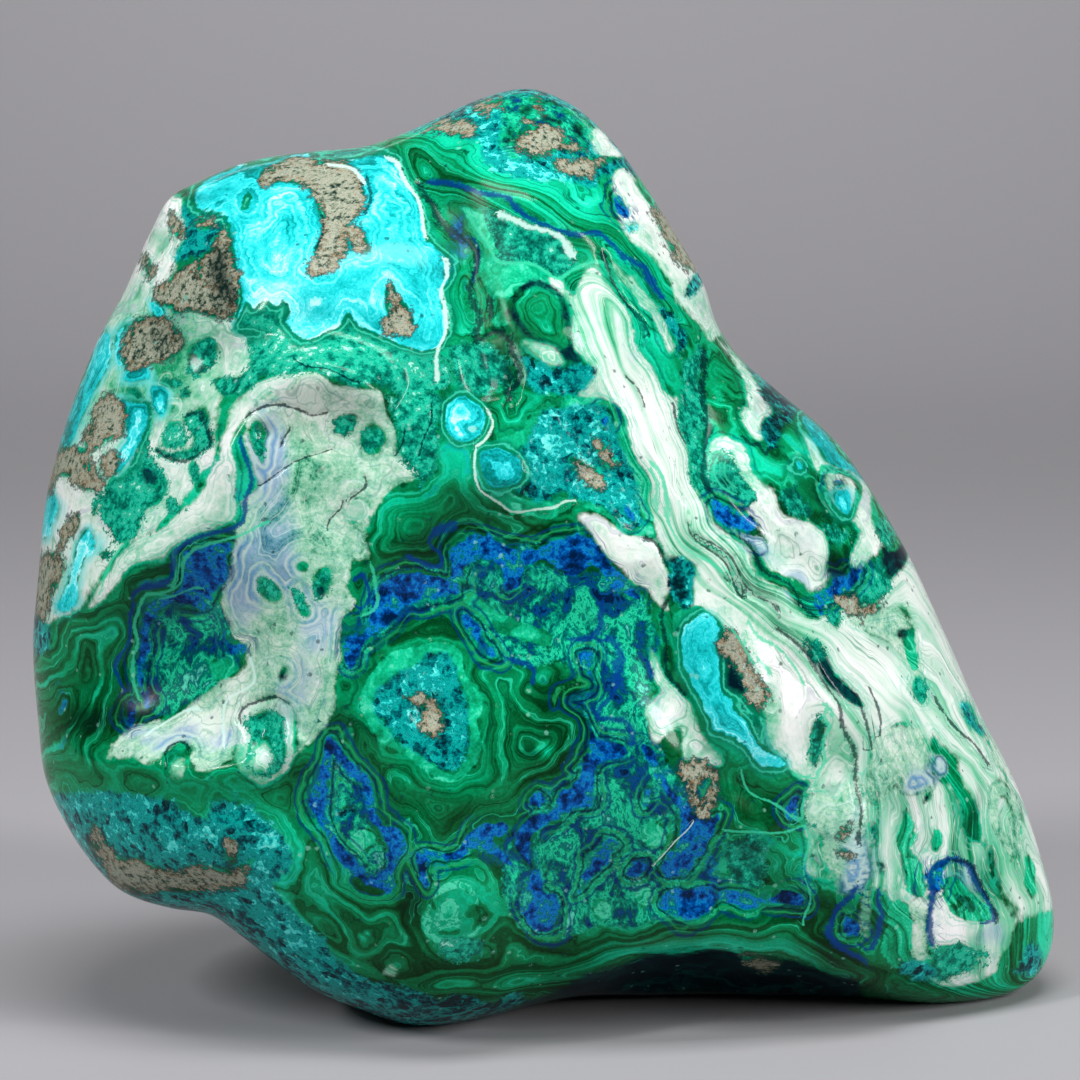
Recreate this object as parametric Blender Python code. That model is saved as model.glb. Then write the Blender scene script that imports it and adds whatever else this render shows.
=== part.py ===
"""A polished freeform stone of azurite, malachite and chrysocolla that stands on its own flat base.

Real size, metres, +Z up. The good face looks along -Y. The base lies on z = 0 and the box
round the stone is centred on the Z axis.
"""

import math

import bmesh
import bpy
import numpy as np

# The face is laid out in tenths of a millimetre on a 108 mm square drawn round the stone:
# (across, down) from the square's upper left corner.
TENTH = 0.0001
SQUARE_CENTRE = (540.0, 540.0)
FACE_CENTRE = (480.0, 560.0)  # the outline is a single curve seen from here

# The rim of the stone, clockwise from the top knob.
RIM = [
    (531, 89), (567, 102), (603, 131), (641, 180), (672, 229), (703, 283), (716, 322),
    (731, 347), (780, 393), (833, 438), (875, 497), (909, 556), (947, 638), (982, 717),
    (1015, 782), (1041, 858), (1053, 909), (1051, 948), (1038, 974), (1015, 991),
    (980, 1000), (940, 1003), (860, 998), (750, 995), (650, 995), (560, 999),
    (520, 1009), (480, 1018), (440, 1025), (400, 1023), (360, 1009), (320, 993),
    (280, 966), (240, 935), (208, 914), (170, 908), (120, 890), (90, 860), (64, 820),
    (46, 780), (38, 720), (33, 640), (38, 580), (46, 500), (67, 420), (98, 340),
    (126, 288), (151, 231), (171, 197), (200, 181), (243, 163), (307, 152), (366, 146),
    (402, 134), (440, 117), (480, 99),
]

TILT = math.radians(7.0)  # the face leans back from upright by this much
APEX_DISTANCE = 0.330  # the sides draw together towards a point this far in front
BASE_DROP = 0.04712  # height of the square's centre above the base
BASE_ALLOWANCE = 0.00008  # anything lower than this is ground flat with the base
FRONT_DEPTH = 0.0225  # middle of the face in front of the rim
BACK_DEPTH = 0.0250
MIDDLE_SHIFT = 0.0020  # the thickest part sits this far behind the upright plane
RIM_ANGLE = math.radians(115.0)  # share of the round mesh that goes to the face
STEPS = 72  # faces along each edge of the cube that the mesh is made from
TRIANGLES = 9500  # the skin is thinned out to about this many

# How far behind the upright plane the rim runs: (across, down, metres). It comes forward to
# the left foot and goes back to the tip at the right.
RIM_SET_BACK = [
    (531, 89, 0.0050), (703, 283, 0.0075), (875, 497, 0.0090), (1015, 782, 0.0105),
    (1053, 909, 0.0100), (1005, 994, 0.0065), (940, 1003, 0.0042), (860, 998, 0.0050),
    (750, 995, 0.0052), (650, 995, 0.0042), (560, 999, 0.0014), (440, 1025, -0.0046),
    (320, 993, -0.0038), (200, 912, -0.0020),
    (46, 780, 0.0005), (38, 580, 0.0020), (98, 340, 0.0030), (243, 163, 0.0035),
    (402, 134, 0.0045),
]

# Rounded lumps and hollows of the face: (across, down, half width, half height, turn in
# degrees, metres raised).
FACE_LUMPS = [
    (290, 265, 150, 105, 0, 0.0026),  # upper left shoulder
    (545, 130, 70, 45, -20, 0.0010),  # top knob
    (168, 660, 95, 75, 22, -0.0044),  # hollow on the left
    (185, 845, 125, 62, -20, 0.0026),  # bulge at the lower left
    (500, 615, 130, 100, 0, -0.0026),  # dished middle
    (433, 708, 66, 72, 0, 0.0009),  # large eye
    (800, 475, 60, 96, 38, 0.0022),  # lobe on the right shoulder
    (750, 690, 55, 98, 32, 0.0019),  # long oval lens
    (330, 560, 85, 175, 5, 0.0014),  # broad pale slope
    (660, 820, 90, 85, 0, 0.0012),  # lower middle swell
    (465, 915, 70, 45, 0, 0.0014),  # boss above the left foot
    (545, 318, 34, 36, 0, 0.0008),  # button
]

# Long ridges and grooves of the face: (metres raised, half width, points).
FACE_LINES = [
    (0.0029, 34, [(400, 405), (340, 376), (285, 384), (240, 424), (212, 490), (170, 545),
                  (110, 590), (50, 624)]),
    (0.0018, 24, [(52, 768), (130, 764), (200, 774), (262, 762), (300, 730)]),
    (-0.0022, 24, [(398, 152), (432, 200), (466, 256), (482, 330), (500, 400)]),
    (0.0018, 30, [(440, 160), (540, 203), (620, 240), (690, 312)]),
    (0.0022, 35, [(575, 320), (622, 400), (668, 470), (722, 540), (792, 610), (846, 690),
                  (862, 770), (862, 850), (884, 940)]),
    (-0.0018, 24, [(728, 345), (704, 400), (700, 460), (730, 512), (790, 567), (842, 612),
                   (900, 690)]),
    (-0.0010, 26, [(905, 620), (930, 720), (940, 820), (930, 890)]),
    (0.0013, 28, [(935, 600), (980, 710), (1012, 800), (1034, 890)]),
    (0.0014, 26, [(165, 225), (118, 320), (78, 420), (60, 500)]),
    (-0.0012, 24, [(190, 372), (250, 345), (320, 332), (400, 356)]),
    (-0.0010, 28, [(640, 560), (655, 640), (700, 760), (780, 810)]),
]

# The face turns under along its lower right edge.
UNDERCUT = [(560, 992), (600, 968), (640, 950), (690, 945), (745, 953), (805, 960),
            (865, 984), (905, 1000)]
UNDERCUT_LIP = 0.0028
UNDERCUT_DEPTH = 0.0065

# Lumps, ridges and grooves of the back, on the same square.
BACK_LUMPS = [
    (330, 330, 130, 110, 20, 0.0018), (620, 380, 110, 150, -30, -0.0018),
    (700, 690, 150, 120, 15, 0.0020), (270, 650, 130, 120, 0, -0.0018),
    (480, 870, 190, 80, 0, 0.0022), (890, 820, 80, 90, -30, 0.0012),
    (520, 180, 90, 70, 0, 0.0010), (150, 470, 70, 110, 0, 0.0012),
]
BACK_LINES = [
    (0.0014, 42, [(460, 150), (500, 300), (470, 470), (520, 620), (640, 740)]),
    (-0.0010, 36, [(180, 760), (330, 700), (470, 740), (620, 850)]),
    (0.0012, 38, [(620, 560), (760, 560), (880, 640), (960, 760)]),
    (-0.0009, 34, [(200, 260), (260, 420), (380, 520)]),
]
# The back is fuller low down, where it comes to the heel of the base.
HEEL_FULLNESS = 5.0

STONE_COLOUR = (0.020, 0.235, 0.170, 1.0)


def polar(points):
    """Angle and distance of points from the face's centre, up taken as positive."""
    across = points[:, 0] - FACE_CENTRE[0]
    up = FACE_CENTRE[1] - points[:, 1]
    return np.arctan2(up, across), np.hypot(across, up)


def closed_curve(knots, values):
    """A smooth periodic curve through values at the knots (angles)."""
    order = np.argsort(knots)
    knots, values = knots[order], values[order]
    knots = np.concatenate([knots[-3:] - 2 * np.pi, knots, knots[:3] + 2 * np.pi])
    values = np.concatenate([values[-3:], values, values[:3]])
    step = np.diff(knots)
    rise = np.diff(values) / step
    slope = (rise[:-1] * step[1:] + rise[1:] * step[:-1]) / (step[:-1] + step[1:])
    slope = np.concatenate([[rise[0]], slope, [rise[-1]]])

    def curve(angle):
        angle = (np.asarray(angle) + np.pi) % (2 * np.pi) - np.pi
        i = np.clip(np.searchsorted(knots, angle, side="right") - 1, 0, len(step) - 1)
        h = step[i]
        s = (angle - knots[i]) / h
        a = values[i] * (1 + 2 * s) * (1 - s) ** 2 + slope[i] * h * s * (1 - s) ** 2
        b = values[i + 1] * s * s * (3 - 2 * s) + slope[i + 1] * h * s * s * (s - 1)
        return a + b

    return curve


def smoothed(curve, width):
    """The same periodic curve with details narrower than width (radians) taken out."""
    grid = np.linspace(-np.pi, np.pi, 721)[:-1]
    turn = (grid + np.pi) % (2 * np.pi) - np.pi
    weight = np.exp(-0.5 * (turn / width) ** 2)
    spectrum = np.fft.rfft(curve(grid)) * np.abs(np.fft.rfft(weight / weight.sum()))
    return closed_curve(grid, np.fft.irfft(spectrum, len(grid)))


def eased_line(points, steps=6):
    """Points along a smooth curve through the given points."""
    p = np.array(points, float)
    p = np.vstack([2 * p[0] - p[1], p, 2 * p[-1] - p[-2]])
    s = np.linspace(0, 1, steps + 1)[:-1, None]
    parts = []
    for a, b, c, d in zip(p[:-3], p[1:-2], p[2:-1], p[3:]):
        cubic = -a + 3 * b - 3 * c + d
        square = 2 * a - 5 * b + 4 * c - d
        parts.append(0.5 * (2 * b + (c - a) * s + square * s * s + cubic * s**3))
    return np.vstack(parts + [p[-2:-1]])


def line_profile(x, y, points, half_width):
    """One on a curve through points, falling to nothing at the sides and at both ends."""
    line = eased_line(points)
    steps = np.hypot(*np.diff(line, axis=0).T)
    begins = np.concatenate([[0], np.cumsum(steps)])
    nearest = np.full(x.shape, np.inf)
    along = np.zeros(x.shape)
    for (ax, ay), (bx, by), begin, step in zip(line[:-1], line[1:], begins, steps):
        s = ((x - ax) * (bx - ax) + (y - ay) * (by - ay)) / (step * step)
        s = np.clip(s, 0.0, 1.0)
        d = np.hypot(x - ax - s * (bx - ax), y - ay - s * (by - ay))
        closer = d < nearest
        along = np.where(closer, begin + s * step, along)
        nearest = np.where(closer, d, nearest)
    ends = np.clip(np.minimum(along, begins[-1] - along) / (1.6 * half_width), 0, 1)
    return (0.15 + 0.85 * np.sin(ends * np.pi / 2)) * np.exp(-((nearest / half_width) ** 2))


def lumps_and_lines(x, y, lumps, lines):
    """Height added by rounded lumps and by long ridges and grooves."""
    height = np.zeros_like(x)
    for cx, cy, half_w, half_h, turn, raised in lumps:
        c, s = math.cos(math.radians(turn)), math.sin(math.radians(turn))
        a = ((x - cx) * c - (y - cy) * s) / half_w
        b = ((x - cx) * s + (y - cy) * c) / half_h
        height += raised * np.exp(-(a * a + b * b) ** 1.15)
    for raised, half_width, points in lines:
        height += raised * line_profile(x, y, points, half_width)
    return height


def undercut(x, y):
    """The lip along the lower right edge and the surface that turns under below it."""
    line = np.array(UNDERCUT, float)
    edge = np.interp(x, line[:, 0], line[:, 1])
    along = np.clip((x - 570) / 90, 0, 1) * np.clip((915 - x) / 70, 0, 1)
    along = along * along * (3 - 2 * along)
    below = np.clip((y - edge) / 34, 0, 1)
    lip = UNDERCUT_LIP * np.exp(-((y - edge + 16) / 26) ** 2)
    return along * (lip - UNDERCUT_DEPTH * below * (2 - below))


def sphere_grid(steps):
    """Vertices on a unit ball laid out as a cube's faces, and the four-sided faces."""
    index, places, faces = {}, [], []

    def vertex(i, j, k):
        key = (i, j, k)
        if key not in index:
            index[key] = len(places)
            cube = [math.tan((2 * t / steps - 1) * math.pi / 4) for t in key]
            places.append(np.array(cube) / np.linalg.norm(cube))
        return index[key]

    for axis in range(3):
        for side in (0, steps):
            for a in range(steps):
                for b in range(steps):
                    quad = []
                    for da, db in ((0, 0), (1, 0), (1, 1), (0, 1)):
                        key = [0, 0, 0]
                        key[axis] = side
                        key[(axis + 1) % 3] = a + da
                        key[(axis + 2) % 3] = b + db
                        quad.append(vertex(*key))
                    faces.append(quad if side else quad[::-1])
    return np.array(places), faces


def stone_points(ball):
    """Moves points of a unit ball onto the stone's surface."""
    from_front = np.arccos(np.clip(-ball[:, 1], -1, 1))
    angle = np.arctan2(ball[:, 2], ball[:, 0])
    face = from_front <= RIM_ANGLE
    t = np.where(face, from_front / RIM_ANGLE, (np.pi - from_front) / (np.pi - RIM_ANGLE))
    share = np.where(t < 0.85, 1.08 * t, 1 - 3.644 * (1 - t) ** 2)
    share = np.clip(share, 0, 1)
    broad = BROAD_CURVE(angle)
    reach = share * (broad + (RIM_CURVE(angle) - broad) * share**4)
    x = FACE_CENTRE[0] + reach * np.cos(angle)
    y = FACE_CENTRE[1] - reach * np.sin(angle)

    middle = MIDDLE_SHIFT + (SET_BACK(angle) - MIDDLE_SHIFT) * share**2
    fullness = 2.6 + 0.8 * np.cos(angle - math.radians(232))
    low = np.clip(-np.sin(angle) * 1.6 - 0.5, 0, 1)
    heel = 2.6 + (HEEL_FULLNESS - 2.6) * low * low * (3 - 2 * low)
    dome = np.sqrt(np.clip(1 - share ** np.where(face, fullness, heel), 0, 1))
    fade = 1 - share**8
    front = FRONT_DEPTH * dome + fade * lumps_and_lines(x, y, FACE_LUMPS, FACE_LINES)
    front += (1 - share**24) * undercut(x, y)
    front = np.maximum(front, 0.0012 * dome)
    back = BACK_DEPTH * dome + fade * lumps_and_lines(x, y, BACK_LUMPS, BACK_LINES)
    depth = middle + np.where(face, -front, back)

    # Each point goes out along its own line from the apex in front of the face.
    across = (x - SQUARE_CENTRE[0]) * TENTH
    up = (SQUARE_CENTRE[1] - y) * TENTH
    grow = 1 + depth / APEX_DISTANCE
    place = np.empty((len(ball), 3))
    place[:, 0] = across * grow
    place[:, 1] = up * grow * math.sin(TILT) + depth * math.cos(TILT)
    place[:, 2] = BASE_DROP + up * grow * math.cos(TILT) - depth * math.sin(TILT)
    # The base is ground flat.
    place[:, 2] = np.where(place[:, 2] < BASE_ALLOWANCE, 0.0, place[:, 2])
    return place


def thinned(skin):
    """The same skin with fewer, larger triangles where it is nearly flat."""
    ob = bpy.data.objects.new("skin", skin)
    bpy.context.scene.collection.objects.link(ob)
    thin = ob.modifiers.new("thin", "DECIMATE")
    thin.ratio = TRIANGLES / (2 * len(skin.polygons))
    seen = ob.evaluated_get(bpy.context.evaluated_depsgraph_get())
    mesh = bpy.data.meshes.new_from_object(seen)
    mesh.name = "polished_stone"
    bpy.data.objects.remove(ob, do_unlink=True)
    bpy.data.meshes.remove(skin)
    return mesh


RIM_CURVE = closed_curve(*polar(np.array(RIM, float)))
BROAD_CURVE = smoothed(RIM_CURVE, math.radians(18))
SET_BACK_MARKS = np.array(RIM_SET_BACK, float)
SET_BACK = closed_curve(polar(SET_BACK_MARKS[:, :2])[0], SET_BACK_MARKS[:, 2])


def build():
    for ob in list(bpy.data.objects):
        bpy.data.objects.remove(ob, do_unlink=True)

    ball, faces = sphere_grid(STEPS)
    places = stone_points(ball)
    middle = (places.min(axis=0) + places.max(axis=0)) / 2
    places[:, :2] -= middle[:2]

    skin = bpy.data.meshes.new("skin")
    skin.from_pydata(places.tolist(), [], faces)
    mesh = thinned(skin)
    bm = bmesh.new()
    bm.from_mesh(mesh)
    bmesh.ops.recalc_face_normals(bm, faces=bm.faces[:])
    for vert in bm.verts:
        if vert.co.z < BASE_ALLOWANCE:
            vert.co.z = 0.0
    for face in bm.faces:
        face.smooth = any(v.co.z > 0.0 for v in face.verts)
    bm.to_mesh(mesh)
    bm.free()

    stone = bpy.data.materials.new("polished_azurite_malachite")
    stone.use_nodes = True
    shader = stone.node_tree.nodes["Principled BSDF"]
    shader.inputs["Base Color"].default_value = STONE_COLOUR
    shader.inputs["Roughness"].default_value = 0.16
    shader.inputs["IOR"].default_value = 1.6
    stone.diffuse_color = STONE_COLOUR
    mesh.materials.append(stone)

    ob = bpy.data.objects.new("polished_stone", mesh)
    bpy.context.scene.collection.objects.link(ob)


build()
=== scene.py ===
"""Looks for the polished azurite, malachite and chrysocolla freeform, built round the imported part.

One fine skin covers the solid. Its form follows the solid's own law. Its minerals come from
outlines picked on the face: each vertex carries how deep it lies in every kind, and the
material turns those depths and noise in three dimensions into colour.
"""

import math

import bpy
import numpy as np
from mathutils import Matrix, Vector


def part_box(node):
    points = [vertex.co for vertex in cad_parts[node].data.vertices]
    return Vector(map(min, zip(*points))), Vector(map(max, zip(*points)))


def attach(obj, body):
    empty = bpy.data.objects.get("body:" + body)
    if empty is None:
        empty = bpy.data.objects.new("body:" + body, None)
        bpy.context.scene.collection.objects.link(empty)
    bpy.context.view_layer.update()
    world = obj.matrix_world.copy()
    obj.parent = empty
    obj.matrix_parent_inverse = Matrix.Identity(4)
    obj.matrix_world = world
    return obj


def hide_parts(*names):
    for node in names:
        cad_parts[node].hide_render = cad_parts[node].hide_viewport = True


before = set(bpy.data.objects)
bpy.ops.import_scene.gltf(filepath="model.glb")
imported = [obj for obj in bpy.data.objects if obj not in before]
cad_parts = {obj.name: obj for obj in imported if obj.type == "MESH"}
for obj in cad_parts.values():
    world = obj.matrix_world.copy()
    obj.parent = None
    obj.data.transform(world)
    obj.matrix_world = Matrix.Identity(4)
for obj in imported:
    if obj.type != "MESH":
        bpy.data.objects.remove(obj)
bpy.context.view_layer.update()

# ---------------------------------------------------------------------------------------------
# Shape: the same law as the solid, on a finer mesh.
# Places on the face are in tenths of a millimetre on a 108 mm square: (across, down).
# ---------------------------------------------------------------------------------------------
TENTH = 0.0001
SQUARE_CENTRE = (540.0, 540.0)
FACE_CENTRE = (480.0, 560.0)
RIM = [
    (531, 89), (567, 102), (603, 131), (641, 180), (672, 229), (703, 283), (716, 322),
    (731, 347), (780, 393), (833, 438), (875, 497), (909, 556), (947, 638), (982, 717),
    (1015, 782), (1041, 858), (1053, 909), (1051, 948), (1038, 974), (1015, 991),
    (980, 1000), (940, 1003), (860, 998), (750, 995), (650, 995), (560, 999),
    (520, 1009), (480, 1018), (440, 1025), (400, 1023), (360, 1009), (320, 993),
    (280, 966), (240, 935), (208, 914), (170, 908), (120, 890), (90, 860), (64, 820),
    (46, 780), (38, 720), (33, 640), (38, 580), (46, 500), (67, 420), (98, 340),
    (126, 288), (151, 231), (171, 197), (200, 181), (243, 163), (307, 152), (366, 146),
    (402, 134), (440, 117), (480, 99),
]
TILT = math.radians(7.0)  # the camera looks down by this
APEX_DISTANCE = 0.330  # from the camera to the middle of the stone
BASE_DROP = 0.04712  # from the middle of the square down to the table
BASE_ALLOWANCE = 0.00008  # anything lower is laid on the table
FRONT_DEPTH = 0.0225  # how far the face and the back stand out from the middle
BACK_DEPTH = 0.0250
MIDDLE_SHIFT = 0.0020  # the middle lies this far back
RIM_ANGLE = math.radians(122.0)  # where on the ball the rim falls, from the front
STEPS = 127  # squares along an edge of the ball's cube
HEEL_FULLNESS = 5.0  # of the back, near the base
# How far back the rim lies at points of it, in metres.
RIM_SET_BACK = [
    (531, 89, 0.0050), (703, 283, 0.0075), (875, 497, 0.0090), (1015, 782, 0.0105),
    (1053, 909, 0.0100), (1005, 994, 0.0065), (940, 1003, 0.0042), (860, 998, 0.0050),
    (750, 995, 0.0052), (650, 995, 0.0042), (560, 999, 0.0014), (440, 1025, -0.0046),
    (320, 993, -0.0038), (200, 912, -0.0020),
    (46, 780, 0.0005), (38, 580, 0.0020), (98, 340, 0.0030), (243, 163, 0.0035),
    (402, 134, 0.0045),
]
# Swellings and hollows: (across, down, half width, half height, turn, metres).
FACE_LUMPS = [
    (290, 265, 150, 105, 0, 0.0026), (545, 130, 70, 45, -20, 0.0010),
    (168, 660, 95, 75, 22, -0.0044), (185, 845, 125, 62, -20, 0.0026),
    (500, 615, 130, 100, 0, -0.0026), (433, 708, 66, 72, 0, 0.0009),
    (800, 475, 60, 96, 38, 0.0022), (750, 690, 55, 98, 32, 0.0019),
    (330, 560, 85, 175, 5, 0.0014), (660, 820, 90, 85, 0, 0.0012),
    (465, 915, 70, 45, 0, 0.0014), (545, 318, 34, 36, 0, 0.0008),
]
# Ridges and grooves: (metres, half width, points).
FACE_LINES = [
    (0.0029, 34, [(400, 405), (340, 376), (285, 384), (240, 424), (212, 490), (170, 545),
                  (110, 590), (50, 624)]),
    (0.0018, 24, [(52, 768), (130, 764), (200, 774), (262, 762), (300, 730)]),
    (-0.0022, 24, [(398, 152), (432, 200), (466, 256), (482, 330), (500, 400)]),
    (0.0018, 30, [(440, 160), (540, 203), (620, 240), (690, 312)]),
    (0.0022, 35, [(575, 320), (622, 400), (668, 470), (722, 540), (792, 610), (846, 690),
                  (862, 770), (862, 850), (884, 940)]),
    (-0.0018, 24, [(728, 345), (704, 400), (700, 460), (730, 512), (790, 567), (842, 612),
                   (900, 690)]),
    (-0.0010, 26, [(905, 620), (930, 720), (940, 820), (930, 890)]),
    (0.0013, 28, [(935, 600), (980, 710), (1012, 800), (1034, 890)]),
    (0.0014, 26, [(165, 225), (118, 320), (78, 420), (60, 500)]),
    (-0.0012, 24, [(190, 372), (250, 345), (320, 332), (400, 356)]),
    (-0.0010, 28, [(640, 560), (655, 640), (700, 760), (780, 810)]),
]
UNDERCUT = [(560, 992), (600, 968), (640, 950), (690, 945), (745, 953), (805, 960),
            (865, 984), (905, 1000)]
UNDERCUT_LIP = 0.0028
UNDERCUT_DEPTH = 0.0065
# Where it begins and ends across, how soon it fades in and out, and how far down it reaches.
UNDERCUT_ENDS, UNDERCUT_FADES, UNDERCUT_REACH = (570, 915), (90, 70), 34
LIP_ABOVE, LIP_WIDTH = 16, 26
PART_SHIFT = (-0.000919, -0.002402)  # the part is centred on its own box
BACK_LUMPS = [
    (330, 330, 130, 110, 20, 0.0018), (620, 380, 110, 150, -30, -0.0018),
    (700, 690, 150, 120, 15, 0.0020), (270, 650, 130, 120, 0, -0.0018),
    (480, 870, 190, 80, 0, 0.0022), (890, 820, 80, 90, -30, 0.0012),
    (520, 180, 90, 70, 0, 0.0010), (150, 470, 70, 110, 0, 0.0012),
]
BACK_LINES = [
    (0.0014, 42, [(460, 150), (500, 300), (470, 470), (520, 620), (640, 740)]),
    (-0.0010, 36, [(180, 760), (330, 700), (470, 740), (620, 850)]),
    (0.0012, 38, [(620, 560), (760, 560), (880, 640), (960, 760)]),
    (-0.0009, 34, [(200, 260), (260, 420), (380, 520)]),
]
# The law of the skin: how far out it has come at a share of its way, and how full it is.
EVEN_UNTIL, EVEN_PACE, CLOSING = 0.85, 1.08, 3.644
FULLNESS, FULLNESS_SWING, FULLEST_AT = 2.6, 0.8, math.radians(232)
THINNEST = 0.0012
# Fine relief, in metres.
GRAIN_RELIEF, CRACK_DEPTH = 0.00007, 0.00022
LONG_WAVE, SHORT_WAVE = 0.00016, 0.00006
# The back wears the face's minerals, turned and pushed about; the rim keeps its own.
BACK_TURN, BACK_SCALE, BACK_DRIFT = math.radians(152), 0.92, 34
BACK_PIVOT, BACK_LANDING = (500, 560), (520, 560)
RIM_DRIFT = 1.4
KEPT_NEAR_RIM = (0.80, 0.95)
# Reaches and margins round outlines and lines, in tenths of a millimetre.
OVAL_POINTS = 28
FAR_OUTSIDE, OFF_LINE = -60.0, 60.0
PATCH_MARGIN, LINE_MARGIN = 90, 20
# Wandering of the outlines, and of the bands between two curves: (size, length, seed).
OUTLINE_WAVES = ((2.2, 52, 11), (2.2, 52, 13))
FLOW_WAVES = ((7, 110, 21), (3, 45, 22))


def smooth_step(value, low, high):
    """Nothing below low, one above high, with an even S between them."""
    t = np.clip((value - low) / (high - low), 0, 1)
    return t * t * (3 - 2 * t)


def polar(points):
    """Angle and distance of points from the face's centre, up taken as positive."""
    across = points[:, 0] - FACE_CENTRE[0]
    up = FACE_CENTRE[1] - points[:, 1]
    return np.arctan2(up, across), np.hypot(across, up)


def closed_curve(knots, values):
    """A smooth periodic curve through values at the knots (angles)."""
    order = np.argsort(knots)
    knots, values = knots[order], values[order]
    knots = np.concatenate([knots[-3:] - 2 * np.pi, knots, knots[:3] + 2 * np.pi])
    values = np.concatenate([values[-3:], values, values[:3]])
    step = np.diff(knots)
    rise = np.diff(values) / step
    slope = (rise[:-1] * step[1:] + rise[1:] * step[:-1]) / (step[:-1] + step[1:])
    slope = np.concatenate([[rise[0]], slope, [rise[-1]]])

    def curve(angle):
        angle = (np.asarray(angle) + np.pi) % (2 * np.pi) - np.pi
        i = np.clip(np.searchsorted(knots, angle, side="right") - 1, 0, len(step) - 1)
        h = step[i]
        s = (angle - knots[i]) / h
        a = values[i] * (1 + 2 * s) * (1 - s) ** 2 + slope[i] * h * s * (1 - s) ** 2
        b = values[i + 1] * s * s * (3 - 2 * s) + slope[i + 1] * h * s * s * (s - 1)
        return a + b

    return curve


def smoothed(curve, width):
    """The same periodic curve with details narrower than width (radians) taken out."""
    grid = np.linspace(-np.pi, np.pi, 721)[:-1]
    turn = (grid + np.pi) % (2 * np.pi) - np.pi
    weight = np.exp(-0.5 * (turn / width) ** 2)
    spectrum = np.fft.rfft(curve(grid)) * np.abs(np.fft.rfft(weight / weight.sum()))
    return closed_curve(grid, np.fft.irfft(spectrum, len(grid)))


def eased(points, steps=6, closed=False):
    """Points along a smooth curve through the given points."""
    p = np.array(points, float)
    if closed:
        p = np.vstack([p[-1:], p, p[:2]])
    else:
        p = np.vstack([2 * p[0] - p[1], p, 2 * p[-1] - p[-2]])
    s = np.linspace(0, 1, steps + 1)[:-1, None]
    parts = []
    for a, b, c, d in zip(p[:-3], p[1:-2], p[2:-1], p[3:]):
        cubic = -a + 3 * b - 3 * c + d
        square = 2 * a - 5 * b + 4 * c - d
        parts.append(0.5 * (2 * b + (c - a) * s + square * s * s + cubic * s**3))
    return np.vstack(parts + [p[-2:-1]])


def to_line(x, y, line):
    """Distance to a line and the distance along it, for every place."""
    steps = np.hypot(*np.diff(line, axis=0).T) + 1e-9
    begins = np.concatenate([[0], np.cumsum(steps)])
    nearest = np.full(x.shape, np.inf)
    along = np.zeros(x.shape)
    for (ax, ay), (bx, by), begin, step in zip(line[:-1], line[1:], begins, steps):
        s = ((x - ax) * (bx - ax) + (y - ay) * (by - ay)) / (step * step)
        s = np.clip(s, 0.0, 1.0)
        d = np.hypot(x - ax - s * (bx - ax), y - ay - s * (by - ay))
        closer = d < nearest
        along = np.where(closer, begin + s * step, along)
        nearest = np.where(closer, d, nearest)
    return nearest, along, begins[-1]


def line_profile(x, y, points, half_width):
    """One on a curve through points, falling to nothing at the sides and at both ends."""
    nearest, along, length = to_line(x, y, eased(points))
    ends = np.clip(np.minimum(along, length - along) / (1.6 * half_width), 0, 1)
    return (0.15 + 0.85 * np.sin(ends * np.pi / 2)) * np.exp(-((nearest / half_width) ** 2))


def blobs(x, y, marks):
    """A sum of rounded marks: (across, down, half width, half height, turn, amount)."""
    total = np.zeros_like(x)
    for cx, cy, half_w, half_h, turn, amount in marks:
        c, s = math.cos(math.radians(turn)), math.sin(math.radians(turn))
        a = ((x - cx) * c - (y - cy) * s) / half_w
        b = ((x - cx) * s + (y - cy) * c) / half_h
        total += amount * np.exp(-((a * a + b * b) ** 1.15))
    return total


def relief(x, y, lumps, lines):
    """Height in metres from lumps and from ridges or grooves along lines."""
    height = blobs(x, y, lumps)
    for raised, half_width, points in lines:
        height += raised * line_profile(x, y, points, half_width)
    return height


def undercut(x, y):
    """The lip and the hollow under the lower right edge."""
    line = np.array(UNDERCUT, float)
    edge = np.interp(x, line[:, 0], line[:, 1])
    begun = np.clip((x - UNDERCUT_ENDS[0]) / UNDERCUT_FADES[0], 0, 1)
    along = smooth_step(begun * np.clip((UNDERCUT_ENDS[1] - x) / UNDERCUT_FADES[1], 0, 1), 0, 1)
    below = np.clip((y - edge) / UNDERCUT_REACH, 0, 1)
    lip = UNDERCUT_LIP * np.exp(-(((y - edge + LIP_ABOVE) / LIP_WIDTH) ** 2))
    return along * (lip - UNDERCUT_DEPTH * below * (2 - below))


def waves(x, y, length, seed, count=14):
    """Smooth seeded unevenness of about unit size, with bumps about length apart."""
    rng = np.random.RandomState(seed)
    total = np.zeros_like(x)
    for _ in range(count):
        turn, phase = rng.uniform(0, 2 * np.pi, 2)
        k = 2 * np.pi / (length * rng.uniform(0.7, 1.5))
        total += np.sin(k * (x * math.cos(turn) + y * math.sin(turn)) + phase)
    return total * math.sqrt(2 / count)


def sphere_grid(steps):
    """Vertices on a unit ball laid out as a cube's faces, and the four-sided faces."""
    index, places, faces = {}, [], []

    def vertex(key):
        if key not in index:
            index[key] = len(places)
            cube = [math.tan((2 * t / steps - 1) * math.pi / 4) for t in key]
            size = math.sqrt(sum(t * t for t in cube))
            places.append([t / size for t in cube])
        return index[key]

    for axis in range(3):
        for side in (0, steps):
            for a in range(steps):
                for b in range(steps):
                    quad = []
                    for da, db in ((0, 0), (1, 0), (1, 1), (0, 1)):
                        key = [0, 0, 0]
                        key[axis] = side
                        key[(axis + 1) % 3] = a + da
                        key[(axis + 2) % 3] = b + db
                        quad.append(vertex(tuple(key)))
                    faces.append(quad if side else quad[::-1])
    return np.array(places), faces


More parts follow.
